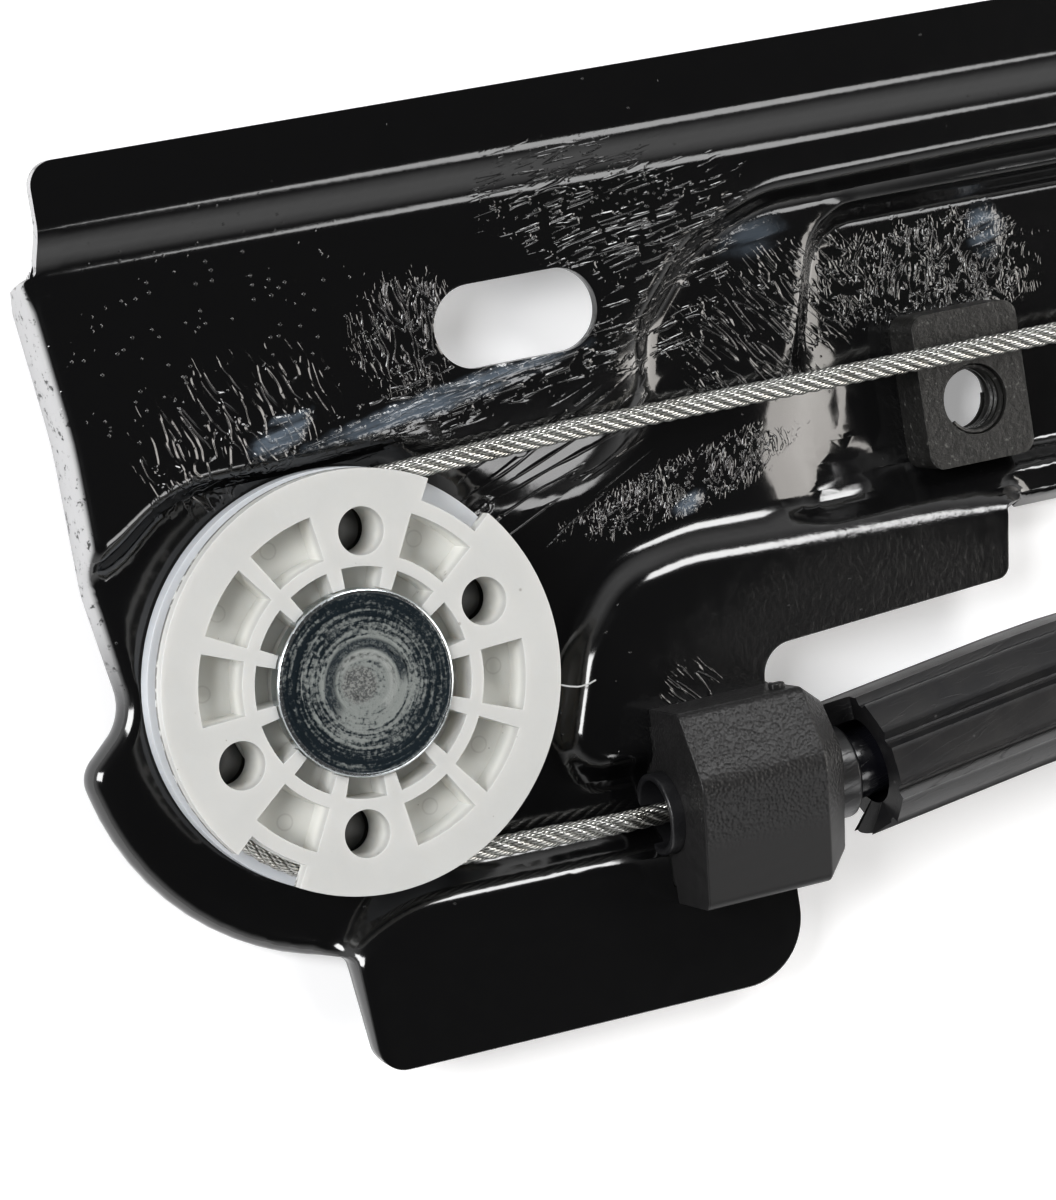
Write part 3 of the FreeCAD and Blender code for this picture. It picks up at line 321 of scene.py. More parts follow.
def rounded(corners, step=7.0):
    """Points of a closed outline whose corners (x, y, radius) are turned by arcs."""
    points = []
    for i, (x, y, radius) in enumerate(corners):
        here = np.array((x, y))
        before = np.array(corners[i - 1][:2]) - here
        after = np.array(corners[(i + 1) % len(corners)][:2]) - here
        before, after = before / np.linalg.norm(before), after / np.linalg.norm(after)
        turn = math.pi - math.acos(max(-1.0, min(1.0, float(before @ after))))
        if radius <= 0 or turn < 1e-3:
            points.append((x, y))
            continue
        reach = radius * math.tan(turn / 2)
        centre = here + (before + after) / np.linalg.norm(before + after) * radius / math.cos(turn / 2)
        start, end = here + before * reach - centre, here + after * reach - centre
        a0 = math.atan2(start[1], start[0])
        sweep = math.atan2(start[0] * end[1] - start[1] * end[0], float(start @ end))
        count = max(2, int(math.ceil(abs(math.degrees(sweep)) / step)))
        for k in range(count + 1):
            angle = a0 + sweep * k / count
            points.append((centre[0] + radius * math.cos(angle), centre[1] + radius * math.sin(angle)))
    return points


def moved_in(corners, distance):
    """An anticlockwise outline with every side moved inwards."""
    lines = []
    for a, b in zip(corners, corners[1:] + corners[:1]):
        along = np.array((b[0] - a[0], b[1] - a[1]))
        along = along / np.linalg.norm(along)
        lines.append((np.array(a[:2]) + np.array((-along[1], along[0])) * distance, along))
    result = []
    for i, corner in enumerate(corners):
        (p, u), (q, v) = lines[i - 1], lines[i]
        cross = u[0] * v[1] - u[1] * v[0]
        radius = 0.0
        if corner[2]:
            radius = max(0.3, corner[2] - (distance if cross > 0 else -distance))
        if abs(cross) < 1e-6:
            result.append((q[0], q[1], radius))
            continue
        step = ((q[0] - p[0]) * v[1] - (q[1] - p[1]) * v[0]) / cross
        result.append((p[0] + u[0] * step, p[1] + u[1] * step, radius))
    return result


def inside_distance(points, xs, ys):
    """Distance to a closed outline, positive inside it."""
    line = np.array(points)
    ahead = np.roll(line, -1, axis=0)
    nearest = np.full(xs.shape, 1e9)
    inside = np.zeros(xs.shape, bool)
    for (ax, ay), (bx, by) in zip(line, ahead):
        dx, dy = bx - ax, by - ay
        length = dx * dx + dy * dy
        if length < 1e-12:
            continue
        share = np.clip(((xs - ax) * dx + (ys - ay) * dy) / length, 0, 1)
        nearest = np.minimum(nearest, (xs - ax - share * dx) ** 2 + (ys - ay - share * dy) ** 2)
        crosses = (ay > ys) != (by > ys)
        with np.errstate(divide="ignore", invalid="ignore"):
            inside ^= crosses & (xs < (bx - ax) * (ys - ay) / (by - ay) + ax)
    return np.where(inside, 1, -1) * np.sqrt(nearest)


def smooth_min(a, b, width):
    """The lower of two heights, with the corner between them rounded."""
    h = np.clip(0.5 + 0.5 * (b - a) / width, 0, 1)
    return b * (1 - h) + a * h - width * h * (1 - h)


def smooth_max(a, b, width):
    return -smooth_min(-a, -b, width)


def smooth_step(value, low, high):
    t = np.clip((value - low) / (high - low), 0, 1)
    return t * t * (3 - 2 * t)


OUTLINE, RECESS, CHANNEL = anticlockwise(OUTLINE), anticlockwise(RECESS), anticlockwise(CHANNEL)
outline_points, recess_points, channel_points = rounded(OUTLINE), rounded(RECESS, 4.0), rounded(CHANNEL, 4.0)
print("outline points", len(outline_points))


# %% The height of the sheet's front over its blank
SKIRT_BEND, SKIRT_FROM, SKIRT_FULL = 1.9, 2.0, 7.0
SKIRT_TOP, SKIRT_FADE = 44.9, 3.4
BEND_RUN = 2.4
CHANNEL_INSET, CHANNEL_RUN, WIDE_RUN = 1.6, 1.8, 6.9
LIP_FROM, LIP_FULL, FAR_ABOVE = 72, 78, 400


def near(xs, ys, middle, stretch, inner, outer):
    """1 near a point and 0 beyond the outer distance, in an oval stretched along the rail."""
    return 1 - smooth_step(np.hypot((xs - middle[0]) / stretch, ys - middle[1]), inner, outer)


def skirt_share(xs, ys):
    """1 where the edge turns back into a skirt, 0 where it is plainly cut."""
    return smooth_step(-xs, SKIRT_FROM, SKIRT_FULL) * smooth_step(SKIRT_TOP - ys, 0.0, SKIRT_FADE)


def front_height(xs, ys):
    """The recess, the channel, the flared lip, the flange and the bent edge, in that order."""
    run = (BEND_RUN - 1.1 * near(xs, ys, (-3, 24), 1.0, 12, 24) + 1.0 * near(xs, ys, (54, 4), 2.2, 6, 12)
           + 10.0 * near(xs, ys, (24, 22), 1.3, 6, 13))
    recess = -RECESS_DEPTH * inside_distance(recess_points, xs, ys) / run
    level = smooth_max(smooth_min(recess, 0.0, 1.3), -RECESS_DEPTH, 1.3)
    # The channel's end has a wide ramp at the middle of its height. Elsewhere its wall is steep.
    wide = (1 - smooth_step(xs, 58.0, 66.0)) * smooth_step(ys, 5.0, 9.0) * (1 - smooth_step(ys, 18.0, 24.0))
    inward = inside_distance(channel_points, xs, ys) - CHANNEL_INSET * (1 - wide)
    channel = -RECESS_DEPTH - (CHANNEL_DEPTH - RECESS_DEPTH) * inward / (CHANNEL_RUN + WIDE_RUN * wide)
    level = smooth_min(level, smooth_max(channel, -CHANNEL_DEPTH, 1.6), 1.4)
    lip = -RECESS_DEPTH + (ys - RAIL_FOOT) * (-SKIRT_END - RECESS_DEPTH) / LIP_FLARE
    level = smooth_min(level, lip + FAR_ABOVE * (1 - smooth_step(xs, LIP_FROM, LIP_FULL)), 1.2)
    flange = smooth_step(ys, FLANGE_FOOT - 0.8, FLANGE_FOOT + FLANGE_RUN + 0.8)
    level = level + FLANGE_RISE * flange
    edge = np.clip(inside_distance(outline_points, xs, ys), 0, SKIRT_BEND)
    drop = SKIRT_BEND - np.sqrt(np.maximum(SKIRT_BEND ** 2 - (SKIRT_BEND - edge) ** 2, 0))
    return level - drop * skirt_share(xs, ys)


print("web and channel", front_height(np.array([100.0, 120.0]), np.array([42.5, 20.0])).round(2))

# %% Rows of points along the bends, and a loose fill between them
def thinned(points, gap):
    """A closed line divided so that no piece is longer than the gap."""
    result = []
    for a, b in zip(points, points[1:] + points[:1]):
        parts = max(1, int(math.ceil(math.dist(a, b) / gap)))
        result += [(a[0] + (b[0] - a[0]) * k / parts, a[1] + (b[1] - a[1]) * k / parts) for k in range(parts)]
    return result


def circle(x, y, radius, count=28):
    turns = [2 * math.pi * k / count for k in range(count)]
    return [(x + radius * math.cos(a), y + radius * math.sin(a)) for a in turns]


def slot_line(outset):
    """The slot's outline, moved outwards."""
    wide, high = SLOT_LENGTH / 2 + outset, SLOT_WIDTH / 2 + outset
    corners = [(-wide, -high), (wide, -high), (wide, high), (-wide, high)]
    return rounded([(SLOT_X + x, SLOT_Y + y, high - 0.01) for x, y in corners])


def rows_inside(corners, turn_step, gap, distances):
    """Rows of points at some distances inside an outline."""
    return [thinned(rounded(moved_in(corners, d), turn_step), gap) for d in distances]


MIDDLE = -AXIS_X
edge_lines = [thinned(rounded(OUTLINE, 6.0), 2.5), slot_line(0.0), circle(NUT_X, NUT_Y, NUT_HOLE),
              circle(0, 0, PIN_HOLE)]
bend_lines = (rows_inside(OUTLINE, 6.0, 2.5, (0.12, 0.4, 0.85, 1.4, 2.0))
              + rows_inside(RECESS, 5.0, 2.5, (-1.0, -0.5, 0.0, 0.5, 1.0, 1.5, 2.1, 2.7, 3.4))
              + rows_inside(RECESS, 5.0, 2.0, np.arange(4.4, 14.0, 1.2))
              + rows_inside(CHANNEL, 5.0, 2.5, (-0.8, 0.0, 1.0, 1.6, 2.2, 2.8, 3.4, 4.1, 6.0, 8.0, 9.5))
              + [thinned(slot_line(d), 1.5) for d in (0.5, 1.2, 2.2)] + [circle(0, 0, r) for r in (4.2, 5.5)])
for start, heights in ((-40.0, (43.2, 43.9, 44.6, 45.4, 46.2, 47.0, 47.8, 48.6, 49.3, 50.2)),
                       (70.0, (2.3, 2.7, 3.1, 3.5, 3.9, 4.3))):
    bend_lines += [[(x, y) for x in np.arange(start, FAR, 3.0)] for y in heights]
xs, ys = np.meshgrid(np.arange(-30.0, MIDDLE + 3, 3.0), np.arange(-42.0, 58.0, 3.0))
xs = xs + np.where(np.arange(xs.shape[0]) % 2, 1.5, 0.0)[:, None]
fill = np.column_stack([xs.ravel(), ys.ravel()])
CLEAR = 1.4
rows = [p for line in edge_lines + bend_lines for p in line]
cells = {(int(x // CLEAR), int(y // CLEAR)) for x, y in rows}
fill = [(x, y) for x, y in fill if not any((int(x // CLEAR) + i, int(y // CLEAR) + j) in cells
                                           for i in (-1, 0, 1) for j in (-1, 0, 1))]
print("rows", len(rows), "fill", len(fill))


# %% Triangulate the half blank
def triangulate(closed, inner, loose, limit):
    """Triangles that keep every line, without those outside the outline, in a hole or past the limit."""
    points, edges = [], []
    for line, shut in [(line, True) for line in closed] + inner:
        start = len(points)
        points += line
        edges += [(start + k, start + k + 1) for k in range(len(line) - 1)]
        if shut:
            edges.append((start + len(line) - 1, start))
    points += loose
    start = len(points)
    points += [(limit, -60.0), (limit, 70.0)]
    edges.append((start, start + 1))
    flat, _, triangles, *_ = delaunay_2d_cdt([Vector(p) for p in points], edges, [], 0, 1e-4)
    flat = np.array([(p.x, p.y) for p in flat])
    triangles = np.array([t for t in triangles if len(t) == 3])
    middle = flat[triangles].mean(axis=1)
    keep = (inside_distance(closed[0], middle[:, 0], middle[:, 1]) > 0) & (middle[:, 0] < limit)
    for hole in closed[1:]:
        keep &= inside_distance(hole, middle[:, 0], middle[:, 1]) < 0
    return flat, triangles[keep]


# A row that goes right round is closed. The straight ones along the flange and the lip aren't.
inner_lines = [(line, math.dist(line[0], line[-1]) < 10) for line in bend_lines]
flat, triangles = triangulate(edge_lines, inner_lines, fill, MIDDLE)
print("half blank", len(triangles), "triangles")


# %% Lift and fold the skirts
SKIRT_GAIN, LEAST_SHARE = 1.4, 0.04


def add_sheet(mesh, side):
    """One half of the rail's front surface, with its skirts."""
    xs, ys = flat[:, 0], flat[:, 1]
    heights = front_height(xs, ys)
    # Only the points on the outline carry a skirt.
    shares = skirt_share(xs, ys) * (np.abs(inside_distance(edge_lines[0], xs, ys)) < 0.02)
    corner = {}
    for i in sorted(set(triangles.ravel().tolist())):
        place = Vector((side * (AXIS_X + flat[i, 0]), AXIS_Y + flat[i, 1], heights[i])) * MM
        corner[i] = mesh.verts.new(place)
    share_of = {corner[i]: shares[i] for i in corner}
    for a, b, c in triangles.tolist():
        u, v = flat[b] - flat[a], flat[c] - flat[a]
        order = (a, b, c) if (u[0] * v[1] - u[1] * v[0]) * -side < 0 else (a, c, b)
        mesh.faces.new([corner[i] for i in order])
    lower = {}

    def hung(point, part):
        """The point of the skirt at a part of the way down from a point of the edge."""
        if part and (point, part) not in lower:
            share = min(1.0, share_of[point] * SKIRT_GAIN)
            drop = max(0.0, point.co.z / MM - SKIRT_END) * share * part
            lower[point, part] = mesh.verts.new(point.co - Vector((0, 0, drop * MM)))
        return lower[point, part] if part else point

    rim = [edge for edge in mesh.edges
           if edge.is_boundary and all(share_of.get(point, 0) > LEAST_SHARE for point in edge.verts)]
    for edge in rim:
        a, b = edge.link_loops[0].vert, edge.link_loops[0].link_loop_next.vert
        for high, low in ((0.0, 0.5), (0.5, 1.0)):
            mesh.faces.new([hung(b, high), hung(a, high), hung(a, low), hung(b, low)])


# %% Finish a piece
def bevel(width, segments, angle=30.0):
    """A Bevel modifier on the edges sharper than an angle, its width in millimetres."""
    return "BEVEL", {"width": width * MM, "segments": segments, "limit_method": "ANGLE",
                     "angle_limit": math.radians(angle)}


def applied(thing):
    """Puts the result of an object's modifiers in place of its mesh."""
    ready = thing.evaluated_get(bpy.context.evaluated_depsgraph_get())
    thing.data = bpy.data.meshes.new_from_object(ready)
    thing.modifiers.clear()


def settled(thing, body, angle):
    """Smooths a piece below an angle, and lets it ride on its body."""
    thing.data.name = thing.name
    thing.data.polygons.foreach_set("use_smooth", [True] * len(thing.data.polygons))
    thing.data.set_sharp_from_angle(angle=math.radians(angle))
    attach(thing, body)
    print(thing.name, len(thing.data.polygons), "faces")
    return thing


def finished(name, mesh, modifiers, body="rail", angle=38.0):
    """Turns a bmesh into a piece, with its modifiers applied."""
    thing = placed(name, bpy.data.meshes.new(name))
    mesh.to_mesh(thing.data)
    mesh.free()
    for kind, settings in modifiers:
        modifier = thing.modifiers.new(kind.lower(), kind)
        for key, value in settings.items():
            setattr(modifier, key, value)
    applied(thing)
    return settled(thing, body, angle)


# %% The rail
sheet = bmesh.new()
for side in (1, -1):
    add_sheet(sheet, side)
bmesh.ops.remove_doubles(sheet, verts=sheet.verts, dist=1e-6)
thickness = ("SOLIDIFY", {"thickness": SHEET * MM, "offset": -1.0, "use_even_offset": False})
rail = finished("pressed_rail", sheet, [thickness, bevel(0.16, 2, 55)], angle=35.0)
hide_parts("guide_rail")

# %% [markdown]
# ## Two ways to make the other pieces
#
# Many rigid pieces already have the right shape in CAD, but a CAD edge is perfectly sharp, and no moulded or
# pressed edge is. Such a piece is copied, its loose triangles are joined, its flat regions are made single faces,
# and a small bevel breaks its edges. Weighted normals then keep the flats flat.
#
# What repeats or follows a path is grown by Geometry Nodes: strands of the cable, the conduit, the fluted sleeve,
# threads, rivets and screws. The tree takes sizes by name, and `grown` turns its result into a plain mesh.

# %% Softened copies of CAD pieces
def copied(node):
    """A CAD node's mesh with its triangles joined again."""
    mesh = bmesh.new()
    mesh.from_mesh(frame["nodes"][node].data)
    bmesh.ops.remove_doubles(mesh, verts=mesh.verts, dist=3e-6)
    bmesh.ops.dissolve_limit(mesh, angle_limit=math.radians(1.2), verts=mesh.verts, edges=mesh.edges)
    return mesh


def weighted(thing):
    """Turns the smoothing towards the large faces, so that a flat beside a bevel stays flat."""
    thing.modifiers.new("weights", "WEIGHTED_NORMAL").keep_sharp = True
    applied(thing)


def body_of(node):
    return next(body for body, nodes in frame["record"]["behaviour"]["bodies"].items() if node in nodes)


def slot_of(node):
    return next(part["material_slot"] for part in frame["record"]["subparts"] if part["node"] == node)


def stands_for(thing, *nodes):
    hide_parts(*nodes)
    slot_of(nodes[0])


def softened(name, node, coat, width, segments=2, shaped=None):
    """A copy of a CAD piece with its edges broken, in place of the plain one."""
    mesh = copied(node)
    if shaped:
        shaped(mesh)
    thing = finished(name, mesh, [bevel(width, segments)], body_of(node))
    weighted(thing)
    thing.data.materials.clear()
    thing.data.materials.append(coat)
    stands_for(thing, node)


# %% Geometry Nodes helpers
class Garden(Shop):
    """A Geometry Nodes tree whose sizes are named inputs."""

    def __init__(self, name, **sizes):
        super().__init__(bpy.data.node_groups.new(name, "GeometryNodeTree"))
        face = self.tree.interface
        face.new_socket("Geometry", in_out="INPUT", socket_type="NodeSocketGeometry")
        face.new_socket("Geometry", in_out="OUTPUT", socket_type="NodeSocketGeometry")
        face.new_socket("Coat", in_out="INPUT", socket_type="NodeSocketMaterial")
        for key, value in sizes.items():
            kind = "NodeSocketInt" if isinstance(value, int) else "NodeSocketFloat"
            face.new_socket(key, in_out="INPUT", socket_type=kind).default_value = value
        entry = self.tree.nodes.new("NodeGroupInput")
        self.given = {socket.name: Wire(self, socket) for socket in entry.outputs if socket.name}

    def path(self):
        """The points handed in, as a curve divided by the Step input."""
        line = self.node("GeometryNodeMeshToCurve", {}, {"Mesh": self.given["Geometry"]})
        return self.node("GeometryNodeResampleCurve", {"mode": "LENGTH"}, {"Curve": line, "Length": self.given["Step"]})

    def hoop(self, sides, radius):
        return self.node("GeometryNodeCurvePrimitiveCircle", {"mode": "RADIUS"},
                         {"Resolution": sides, "Radius": radius})

    def swept(self, path, outline, caps=True):
        return self.node("GeometryNodeCurveToMesh", {}, {"Curve": path, "Profile Curve": outline, "Fill Caps": caps})

    def moved(self, geometry, **places):
        """Points set to a Position, or pushed by an Offset."""
        return self.node("GeometryNodeSetPosition", {}, {"Geometry": geometry, **places})

    def planted(self, instance, **turned):
        """A copy of a shape on each point handed in."""
        points = self.node("GeometryNodeMeshToPoints", {}, {"Mesh": self.given["Geometry"]})
        return self.node("GeometryNodeInstanceOnPoints", {}, {"Points": points, "Instance": instance, **turned})

    def vector(self, operation, *values):
        return self.node("ShaderNodeVectorMath", {"operation": operation}, dict(enumerate(values)))

    def scaled(self, vector, factor):
        return self.node("ShaderNodeVectorMath", {"operation": "SCALE"}, {0: vector, "Scale": factor})

    def joined(self, *parts):
        made = self.node("GeometryNodeJoinGeometry")
        for part in parts:
            self.put(part, made.socket.node.inputs[0])
        return made

    def stored(self, geometry, name, value, kind="FLOAT"):
        """Keeps a value on the points under a name that a material can read."""
        made = self.node("GeometryNodeStoreNamedAttribute", {"data_type": kind, "domain": "POINT"},
                         {"Geometry": geometry, "Name": name})
        self.put(value, next(s for s in made.socket.node.inputs if s.name == "Value" and s.enabled))
        return made

    def finish(self, geometry):
        """Realize Instances and Set Material, then the way out."""
        real = self.node("GeometryNodeRealizeInstances", {}, {"Geometry": geometry})
        coated = self.node("GeometryNodeSetMaterial", {}, {"Geometry": real, "Material": self.given["Coat"]})
        way_out = self.tree.nodes.new("NodeGroupOutput")
        self.tree.links.new(coated.socket, way_out.inputs["Geometry"])


def grown(name, garden, ways, coat, body, closed=False, angle=40.0, **sizes):
    """Grows a tree on lists of points in millimetres. Each list is a path, or loose points if closed is None."""
    points, edges = [], []
    for way in ways:
        start, count = len(points), len(way)
        points += [Vector(p) * MM for p in way]
        if closed is not None:
            edges += [(start + k, start + (k + 1) % count) for k in range(count if closed else count - 1)]
    data = bpy.data.meshes.new(name)
    data.from_pydata(points, edges, [])
    thing = placed(name, data)
    modifier = thing.modifiers.new("grown", "NODES")
    modifier.node_group = garden.tree
    values = {**sizes, "Coat": coat}
    for item in garden.tree.interface.items_tree:
        if item.item_type == "SOCKET" and item.in_out == "INPUT" and item.name in values:
            modifier[item.identifier] = values[item.name]
    applied(thing)
    return settled(thing, body, angle)


# %% [markdown]
# ## The way of the cable
#
# The cable leaves the carrier, runs along the rail, turns half round the pulley and goes through the block into
# its conduit, which swings down to the drum in one easy curve. Conduit, sleeve and cable all follow the same
# corners, so the corners are written once, with the radius of each bend. In the groove the cable sits a millimetre
# nearer the pulley's axis than along its straight runs.

# %% Routes
CABLE_Z, WRAP = 0.55, 20.0
CABLE_TOP, CABLE_FOOT = AXIS_Y + WRAP, AXIS_Y - WRAP
DRUM_Y, DRUM_R = -109.0, 20.0
ENTRY_Y = DRUM_Y + DRUM_R
BLOCK_X, HOUSING_X, DRUM_X = -238.0, -37.0, -9.04
CONDUIT_BENDS = [(-229.5, -52.0, 30.0), (-190.0, -46.6, 109.6), (-146.0, -55.0, 109.2), (-108.0, -78.5, 129.7),
                 (-77.0, -89.0, 89.1)]


def curved(corners):
    """Points of an open path whose inner corners (x, y, radius) are turned by arcs, at the cable's height."""
    padded = corners + [(x, y + 500.0, 0) for x, y, _ in (corners[-1], corners[0])]
    return [(x, y, CABLE_Z) for x, y in rounded(padded, 3.0)[:-2]]


conduit_way = curved([(BLOCK_X, CABLE_FOOT, 0)] + CONDUIT_BENDS + [(HOUSING_X, ENTRY_Y, 0)])
SEATED, EASED = WRAP - 1.0, 26.0
half_turn = [(AXIS_X - SEATED * math.sin(a), AXIS_Y + SEATED * math.cos(a), CABLE_Z)
             for a in np.linspace(0, math.pi, 61)]
cable_way = ([(0, CABLE_TOP, CABLE_Z), (AXIS_X + EASED, CABLE_TOP, CABLE_Z)] + half_turn
             + curved([(AXIS_X + EASED, CABLE_FOOT, 0)] + CONDUIT_BENDS + [(DRUM_X, ENTRY_Y, 0)]))


def way_length(way):
    return sum(math.dist(a, b) for a, b in zip(way, way[1:]))


def both_sides(way):
    """A path on the left, and its mirror image on the right."""
    return ("left", way), ("right", [(-x, y, z) for x, y, z in way])


def piece_of(way, start, end):
    """The part of a path between two distances along it."""
    result, passed = [], 0.0
    for a, b in zip(way, way[1:]):
        run = math.dist(a, b)
        for mark in (start, end):
            if passed <= mark < passed + run and (mark == end or not result):
                share = (mark - passed) / run
                result.append(tuple(p + (q - p) * share for p, q in zip(a, b)))
        if start < passed + run < end:
            result.append(b)
        passed += run
    return result


print("cable", round(way_length(cable_way), 1), "conduit", round(way_length(conduit_way), 1))

# %% [markdown]
# ## Finishes
#
# Each finish is built from what happened to the surface. Electrocoat flows level, so it is a near mirror with a
# faint orange peel, dust that dried in, and on this part a film of assembly grease that fingers have dragged about:
# it shows only where its ridges catch the lamps. All patterns read Object coordinates in millimetres, so they keep
# their scale on every piece.

# %% Pattern helpers
def folded(shop):
    """Object coordinates in millimetres with the right half laid over the left one."""
    x, y, z = shop.parts(places(shop))
    return shop.point(-1 * abs(x), y, z)


def about_axis(shop):
    """Across and up from the nearer pulley's axis, the distance from it, and the height."""
    x, y, z = shop.parts(places(shop))
    across, up = abs(x) + AXIS_X, y - AXIS_Y
    return across, up, shop.math("SQRT", across * across + up * up), z


def most(*masks):
    """The highest of some masks."""
    top = masks[0]
    for mask in masks[1:]:
        top = mask.shop.math("MAXIMUM", top, mask)
    return top


def strokes(shop, where, width, distort=0.8, detail=1.0):
    """Thin wandering lines: 1 on the line."""
    return 1 - shop.steps(abs(noise(shop, where, detail=detail, distort=distort) - 0.5), 0.0, width)


def stretched(shop, turn, along, across):
    """Object coordinates for strokes that run at an angle: patterns per millimetre along and across."""
    turned = shop.node("ShaderNodeMapping", {}, {"Vector": places(shop), "Rotation": (0, 0, math.radians(-turn))})
    return shop.node("ShaderNodeMapping", {}, {"Vector": turned, "Scale": (along, across, across)})


def dots(shop, scale, size, share, seed=0.0):
    """Small round spots in a share of the cells of a grid."""
    cells = shop.node("ShaderNodeTexVoronoi", {}, {"Vector": places(shop, 1.0, (seed, seed, 0)), "Scale": scale})
    outputs = cells.socket.node.outputs
    spot = 1 - shop.steps(Wire(shop, outputs["Distance"]), size * 0.4, size)
    return spot * shop.math("GREATER_THAN", shop.parts(Wire(shop, outputs["Color"]))[0], 1 - share)


print("pattern helpers ready")

# %% Grease and dust on the electrocoat
e_coat, black = material("black_e_coat", IOR=1.5, Specular_IOR_Level=0.8)
half = folded(black)
torn = (noise(black, 0.5, detail=3.0) - 0.5) * 0.7
broken = noise(black, places(black, 0.5, (7, 3, 0)), detail=1.0)


def patch(x, y, wide, high, turn=0, soft=0.5):
    """1 inside an oval on the rail's end and 0 outside, with a soft, uneven edge."""
    near_middle = black.node("ShaderNodeMapping", {"vector_type": "TEXTURE"}, {
        "Vector": half, "Location": (x, y, 0.0), "Rotation": (0, 0, math.radians(turn)), "Scale": (wide, high, 1e4)})
    reach = black.node("ShaderNodeVectorMath", {"operation": "LENGTH"}, {0: near_middle}, output=1)
    return 1 - black.steps(reach + torn, 1 - soft, 1.0)


def commas(turn, along, across, width, share, distort=0.8):
    """Short wet strokes that run at an angle: long thin lines, broken up."""
    line = strokes(black, stretched(black, turn, along, across), width, distort)
    return line * black.steps(broken, 1 - share, 1.06 - share)


lower_left = patch(-288, -5.5, 14, 9, 20, 0.6)
left_web = patch(-288, 3, 20, 15, 10, 0.6)
under_slot = patch(-262, -6.0, 24, 4.0, 8)
by_slot = patch(-268, 0.5, 7, 7)
behind_slot = patch(-246, 9, 15, 8, -20, 0.6)
ramp = patch(-238, 2, 8, 13, -35)
swirl = patch(-226, -5, 15, 8, 12)
above_nut = patch(-207, -4, 14, 7, 0, 0.4)
crest = patch(-240, -20, 16, 3.5, 12, 0.6)
finger = patch(-244, -40, 4, 3, 12, 0.6)
lines_down = patch(-254, -16, 14, 8, 20)
wet = most(commas(112, 0.22, 0.62, 0.10, 0.74) * lower_left,
           commas(24, 0.03, 0.55, 0.06, 0.75, 0.3) * lines_down * 0.8,
           commas(100, 0.30, 0.70, 0.08, 0.68, 2.0) * by_slot,
           commas(10, 0.12, 0.95, 0.07, 0.60, 0.5) * most(ramp, behind_slot * 0.7, under_slot),
           commas(-50, 0.16, 0.75, 0.085, 0.62, 1.4) * most(swirl, finger),
           commas(75, 0.40, 0.70, 0.10, 0.62, 2.0) * most(above_nut, crest))
dust = dots(black, 0.95, 0.19, 0.75) * most(left_web, behind_slot, swirl) + dots(black, 0.38, 0.055, 0.6, 7.0)
coarse = dots(black, 1.9, 0.30, 0.42, 3.0) * most(behind_slot, crest, under_slot * 0.8)
smear = most(patch(-266, -6.6, 18, 1.5, 9, 0.7), patch(-283, -6.9, 4.2, 1.9, 20),
             patch(-199.5, -0.5, 2.6, 3.6, 0, 0.7), patch(-228, 3.5, 5, 2.5, 10, 0.8) * 0.5,
             patch(-239.5, -22, 2.4, 1.2, 20, 0.8))
streak = noise(black, stretched(black, 9, 0.10, 0.9), detail=3.0)
film = black.steps(streak, 0.30, 0.58) * smear
print("grease and dust nodes", len(e_coat.node_tree.nodes))

# %% Black electrocoat
peel = noise(black, 0.5, detail=2.0)
plateau = patch(-226, -37, 28, 12, 8)
grain = noise(black, 1.5, detail=3.0, rough=0.6) * plateau
x, y, _ = black.parts(half)
# The left skirt's outward sides are painted light grey, broken by dark specks: a painted reflection of the white room,
# seen at a grazing angle.
facing = (black.parts(black.node("ShaderNodeNewGeometry", output="Normal"))[0]
          * black.math("SIGN", black.parts(places(black))[0]))
skirt_painted_reflection = (black.steps(facing, 0.55, 0.85) * (1 - black.steps(x, -293.5, -291.0))
             * (1 - black.steps(-1 * y, 20.0, 32.0)))
reflection_breakup = black.steps(noise(black, 0.9, detail=4.0, rough=0.7), 0.34, 0.44)
shade = black.mix(film, (0.0028, 0.0028, 0.0030), (0.075, 0.095, 0.120))
height = peel * 0.018 + grain * 0.05 + wet * 0.12 + (dust + coarse) * 0.10 + streak * smear * 0.45
black.dress(black.mix(skirt_painted_reflection * reflection_breakup, shade, (0.40, 0.40, 0.405)),
            0.09 + 0.05 * peel + plateau * 0.10 + film * 0.10 + skirt_painted_reflection * 0.35, bump(black, height, 1.0, 0.9))
rail.data.materials.append(e_coat)

carrier_coat, shop = material("carrier_e_coat", IOR=1.5)
grime = noise(shop, 0.12, detail=5.0)
normal = bump(shop, noise(shop, 0.5, detail=2.0), 0.05, 0.5)
shop.dress(shop.mix(shop.steps(grime, 0.5, 0.75), (0.004, 0.004, 0.0045), (0.02, 0.02, 0.021)), 0.16 + 0.18 * grime,
           bump(shop, dots(shop, 0.7, 0.16, 0.25), 0.05, 0.8, normal))
print("e-coat nodes", len(e_coat.node_tree.nodes))


# %% Plated metals
def plated(name, colour, dark, rough):
    """Plated or bare steel with clouds, scratches and small stains."""
    made, shop = material(name, Metallic=1.0)
    cloud = noise(shop, 0.35, detail=5.0, rough=0.65)
    lines = strokes(shop, stretched(shop, 35, 0.05, 1.8), 0.02, 0.3)
    tone = shop.mix(shop.steps(cloud, 0.35, 0.7), colour, dark)
    tone = shop.mix(dots(shop, 1.1, 0.3, 0.2) * 0.5, tone, [v * 0.35 for v in dark])
    shop.dress(tone, rough + 0.2 * cloud + lines * 0.1, bump(shop, lines, 0.02, 0.6, bump(shop, cloud, 0.04, 0.5)))
    return made


